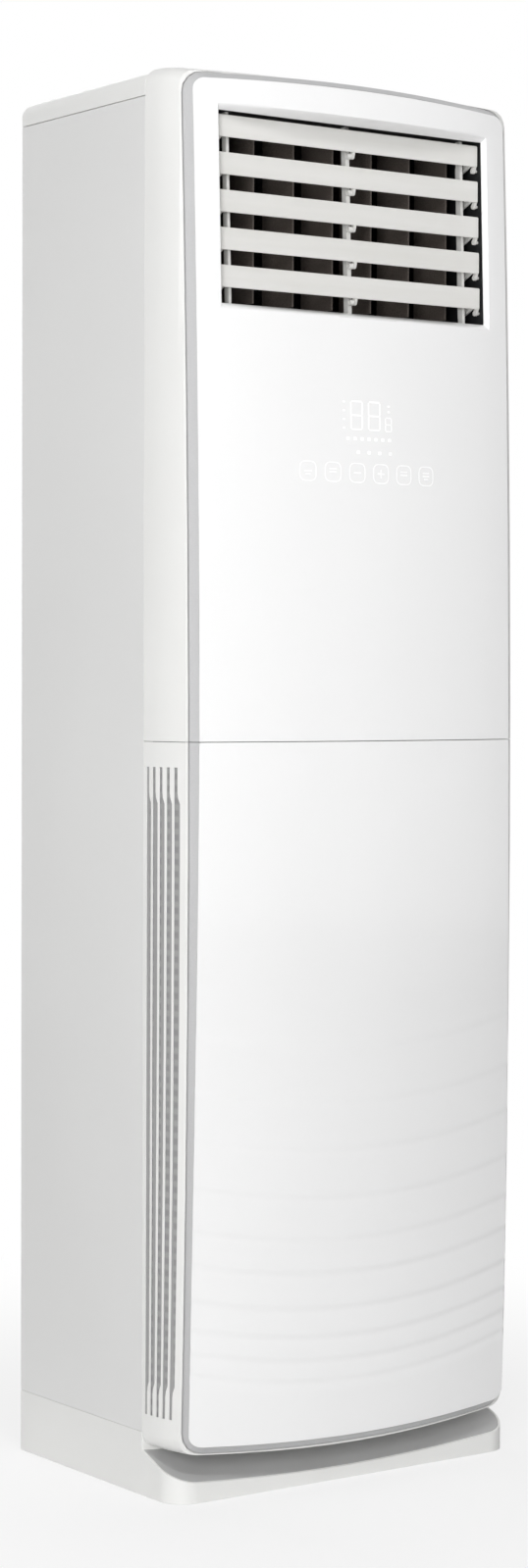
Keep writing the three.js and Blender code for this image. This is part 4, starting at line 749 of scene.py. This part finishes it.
def makeScrew(s):
    # a pan head with a cross recess, its seat at the origin and its head towards +Y
    bpy.ops.object.select_all(action="DESELECT")
    bpy.ops.mesh.primitive_cylinder_add(vertices=24, radius=s["head"] * mm, depth=s["rise"] * mm,
                                        location=(0, s["rise"] / 2 * mm, 0), rotation=(math.pi / 2, 0, 0))
    screw = bpy.context.object
    screw.name = "screw"
    bpy.ops.object.transform_apply(location=True, rotation=True, scale=True)
    applyModifier(screw, "BEVEL", width=s["round"] * mm, segments=4, limit_method="ANGLE", angle_limit=math.radians(50))
    for wide, high in ((s["slot"], s["reach"] * 2), (s["reach"] * 2, s["slot"])):
        bpy.ops.object.select_all(action="DESELECT")
        bpy.ops.mesh.primitive_cube_add(size=1, location=(0, s["rise"] * mm, 0),
                                        scale=(wide * mm, s["cut"] * mm, high * mm))
        cutter = bpy.context.object
        bpy.ops.object.transform_apply(location=True, rotation=True, scale=True)
        applyModifier(screw, "BOOLEAN", operation="DIFFERENCE", object=cutter, solver="EXACT")
        bpy.data.objects.remove(cutter)
    smoothAll(screw, 40)
    return screw


def placeScrews():
    panel = bpy.data.objects["rearPanel"]
    first = makeScrew(screwSize)
    bpy.context.view_layer.update()
    copies = []
    for x, z in screwPlaces:
        hit, place, normal, index = panel.ray_cast(Vector((x * mm, 0.3, z * mm)), Vector((0, -1, 0)))
        if not hit:
            continue
        copy = bpy.data.objects.new("screwCopy", first.data.copy())
        bpy.context.scene.collection.objects.link(copy)
        copy.data.transform(Matrix.Translation(place))
        copies.append(copy)
    bpy.data.objects.remove(first)
    settle(joined(copies, "rearScrews"), "cabinet", "motor_can")


placeScrews()

print("stage")
studio = {
    "floorRadius": 9,
    "key": {"place": (-3.35, -3.2, 1.0), "aim": (0, -0.1, 0.8), "size": (1.6, 3.4), "power": 150},
    "top": {"place": (-1.1, -2.5, 4.4), "aim": (0, -0.15, 1.3), "size": (1.1, 1.1), "power": 50},
    "fill": {"place": (3.4, -3.6, 1.6), "aim": (0, 0, 0.9), "size": (2.4, 3.0), "power": 6},
    "rear": {"place": (0.6, 3.9, 2.4), "aim": (0, 0, 1.0), "size": (3.0, 2.4), "power": 60},
    "ambient": 0.2,
    "floorColour": "#F2F2F2",
    "floorFade": (0.3, 1.5, 0.72),  # from and to which distance it whitens, and how much it does near the foot
}


def addLamp(name, s):
    data = bpy.data.lights.new(name, "AREA")
    data.shape = "RECTANGLE"
    data.size, data.size_y = s["size"]
    data.energy = s["power"]
    lamp = bpy.data.objects.new(name, data)
    lamp.location = s["place"]
    lamp.rotation_euler = (Vector(s["aim"]) - Vector(s["place"])).to_track_quat("-Z", "Y").to_euler()
    bpy.context.scene.collection.objects.link(lamp)


for lampName in ("key", "top", "fill", "rear"):
    addLamp(lampName + "Lamp", studio[lampName])


def addWorld(strength):
    world = bpy.data.worlds.new("whiteStudio")
    bpy.context.scene.world = world
    world.use_nodes = True
    tree = world.node_tree
    shine = tree.nodes["Background"]
    shine.inputs["Color"].default_value = (1, 1, 1, 1)
    # white to the eye and in reflections, dim as a source of light
    path = addNode(tree, "ShaderNodeLightPath")
    seen = addNode(tree, "ShaderNodeMath", {"operation": "MAXIMUM"},
                   links={0: path.outputs["Is Camera Ray"], 1: path.outputs["Is Glossy Ray"]}).outputs[0]
    seen = addNode(tree, "ShaderNodeMath", {"operation": "MAXIMUM"},
                   links={0: seen, 1: path.outputs["Is Transmission Ray"]}).outputs[0]
    level = addNode(tree, "ShaderNodeMapRange", inputs={"To Min": strength, "To Max": 1.0},
                    links={"Value": seen}).outputs["Result"]
    tree.links.new(level, shine.inputs["Strength"])


addWorld(studio["ambient"])


def addFloor(s):
    near, far, least = s["floorFade"]
    bpy.ops.object.select_all(action="DESELECT")
    bpy.ops.mesh.primitive_circle_add(vertices=96, radius=s["floorRadius"], fill_type="NGON",
                                      location=(0, 0, -0.5 * mm))
    floor = bpy.context.object
    floor.name = "studioFloor"
    material, tree, shader, where = newFinish("paleStudioFloor", s["floorColour"], 0.8)
    reach = addNode(tree, "ShaderNodeVectorMath", {"operation": "LENGTH"}, links={0: where}).outputs["Value"]
    share = addNode(tree, "ShaderNodeMapRange", {"interpolation_type": "SMOOTHSTEP"},
                    {"From Min": near, "From Max": far, "To Min": least}, {"Value": reach}).outputs["Result"]
    path = addNode(tree, "ShaderNodeLightPath")
    both = addNode(tree, "ShaderNodeMath", {"operation": "MULTIPLY"},
                   links={0: share, 1: path.outputs["Is Camera Ray"]}).outputs[0]
    glow = addNode(tree, "ShaderNodeEmission", inputs={"Color": (1, 1, 1, 1), "Strength": 1.0})
    mix = addNode(tree, "ShaderNodeMixShader", links={0: both, 1: shader.outputs[0], 2: glow.outputs[0]})
    tree.links.new(mix.outputs[0], tree.nodes["Material Output"].inputs["Surface"])
    floor.data.materials.append(material)


addFloor(studio)
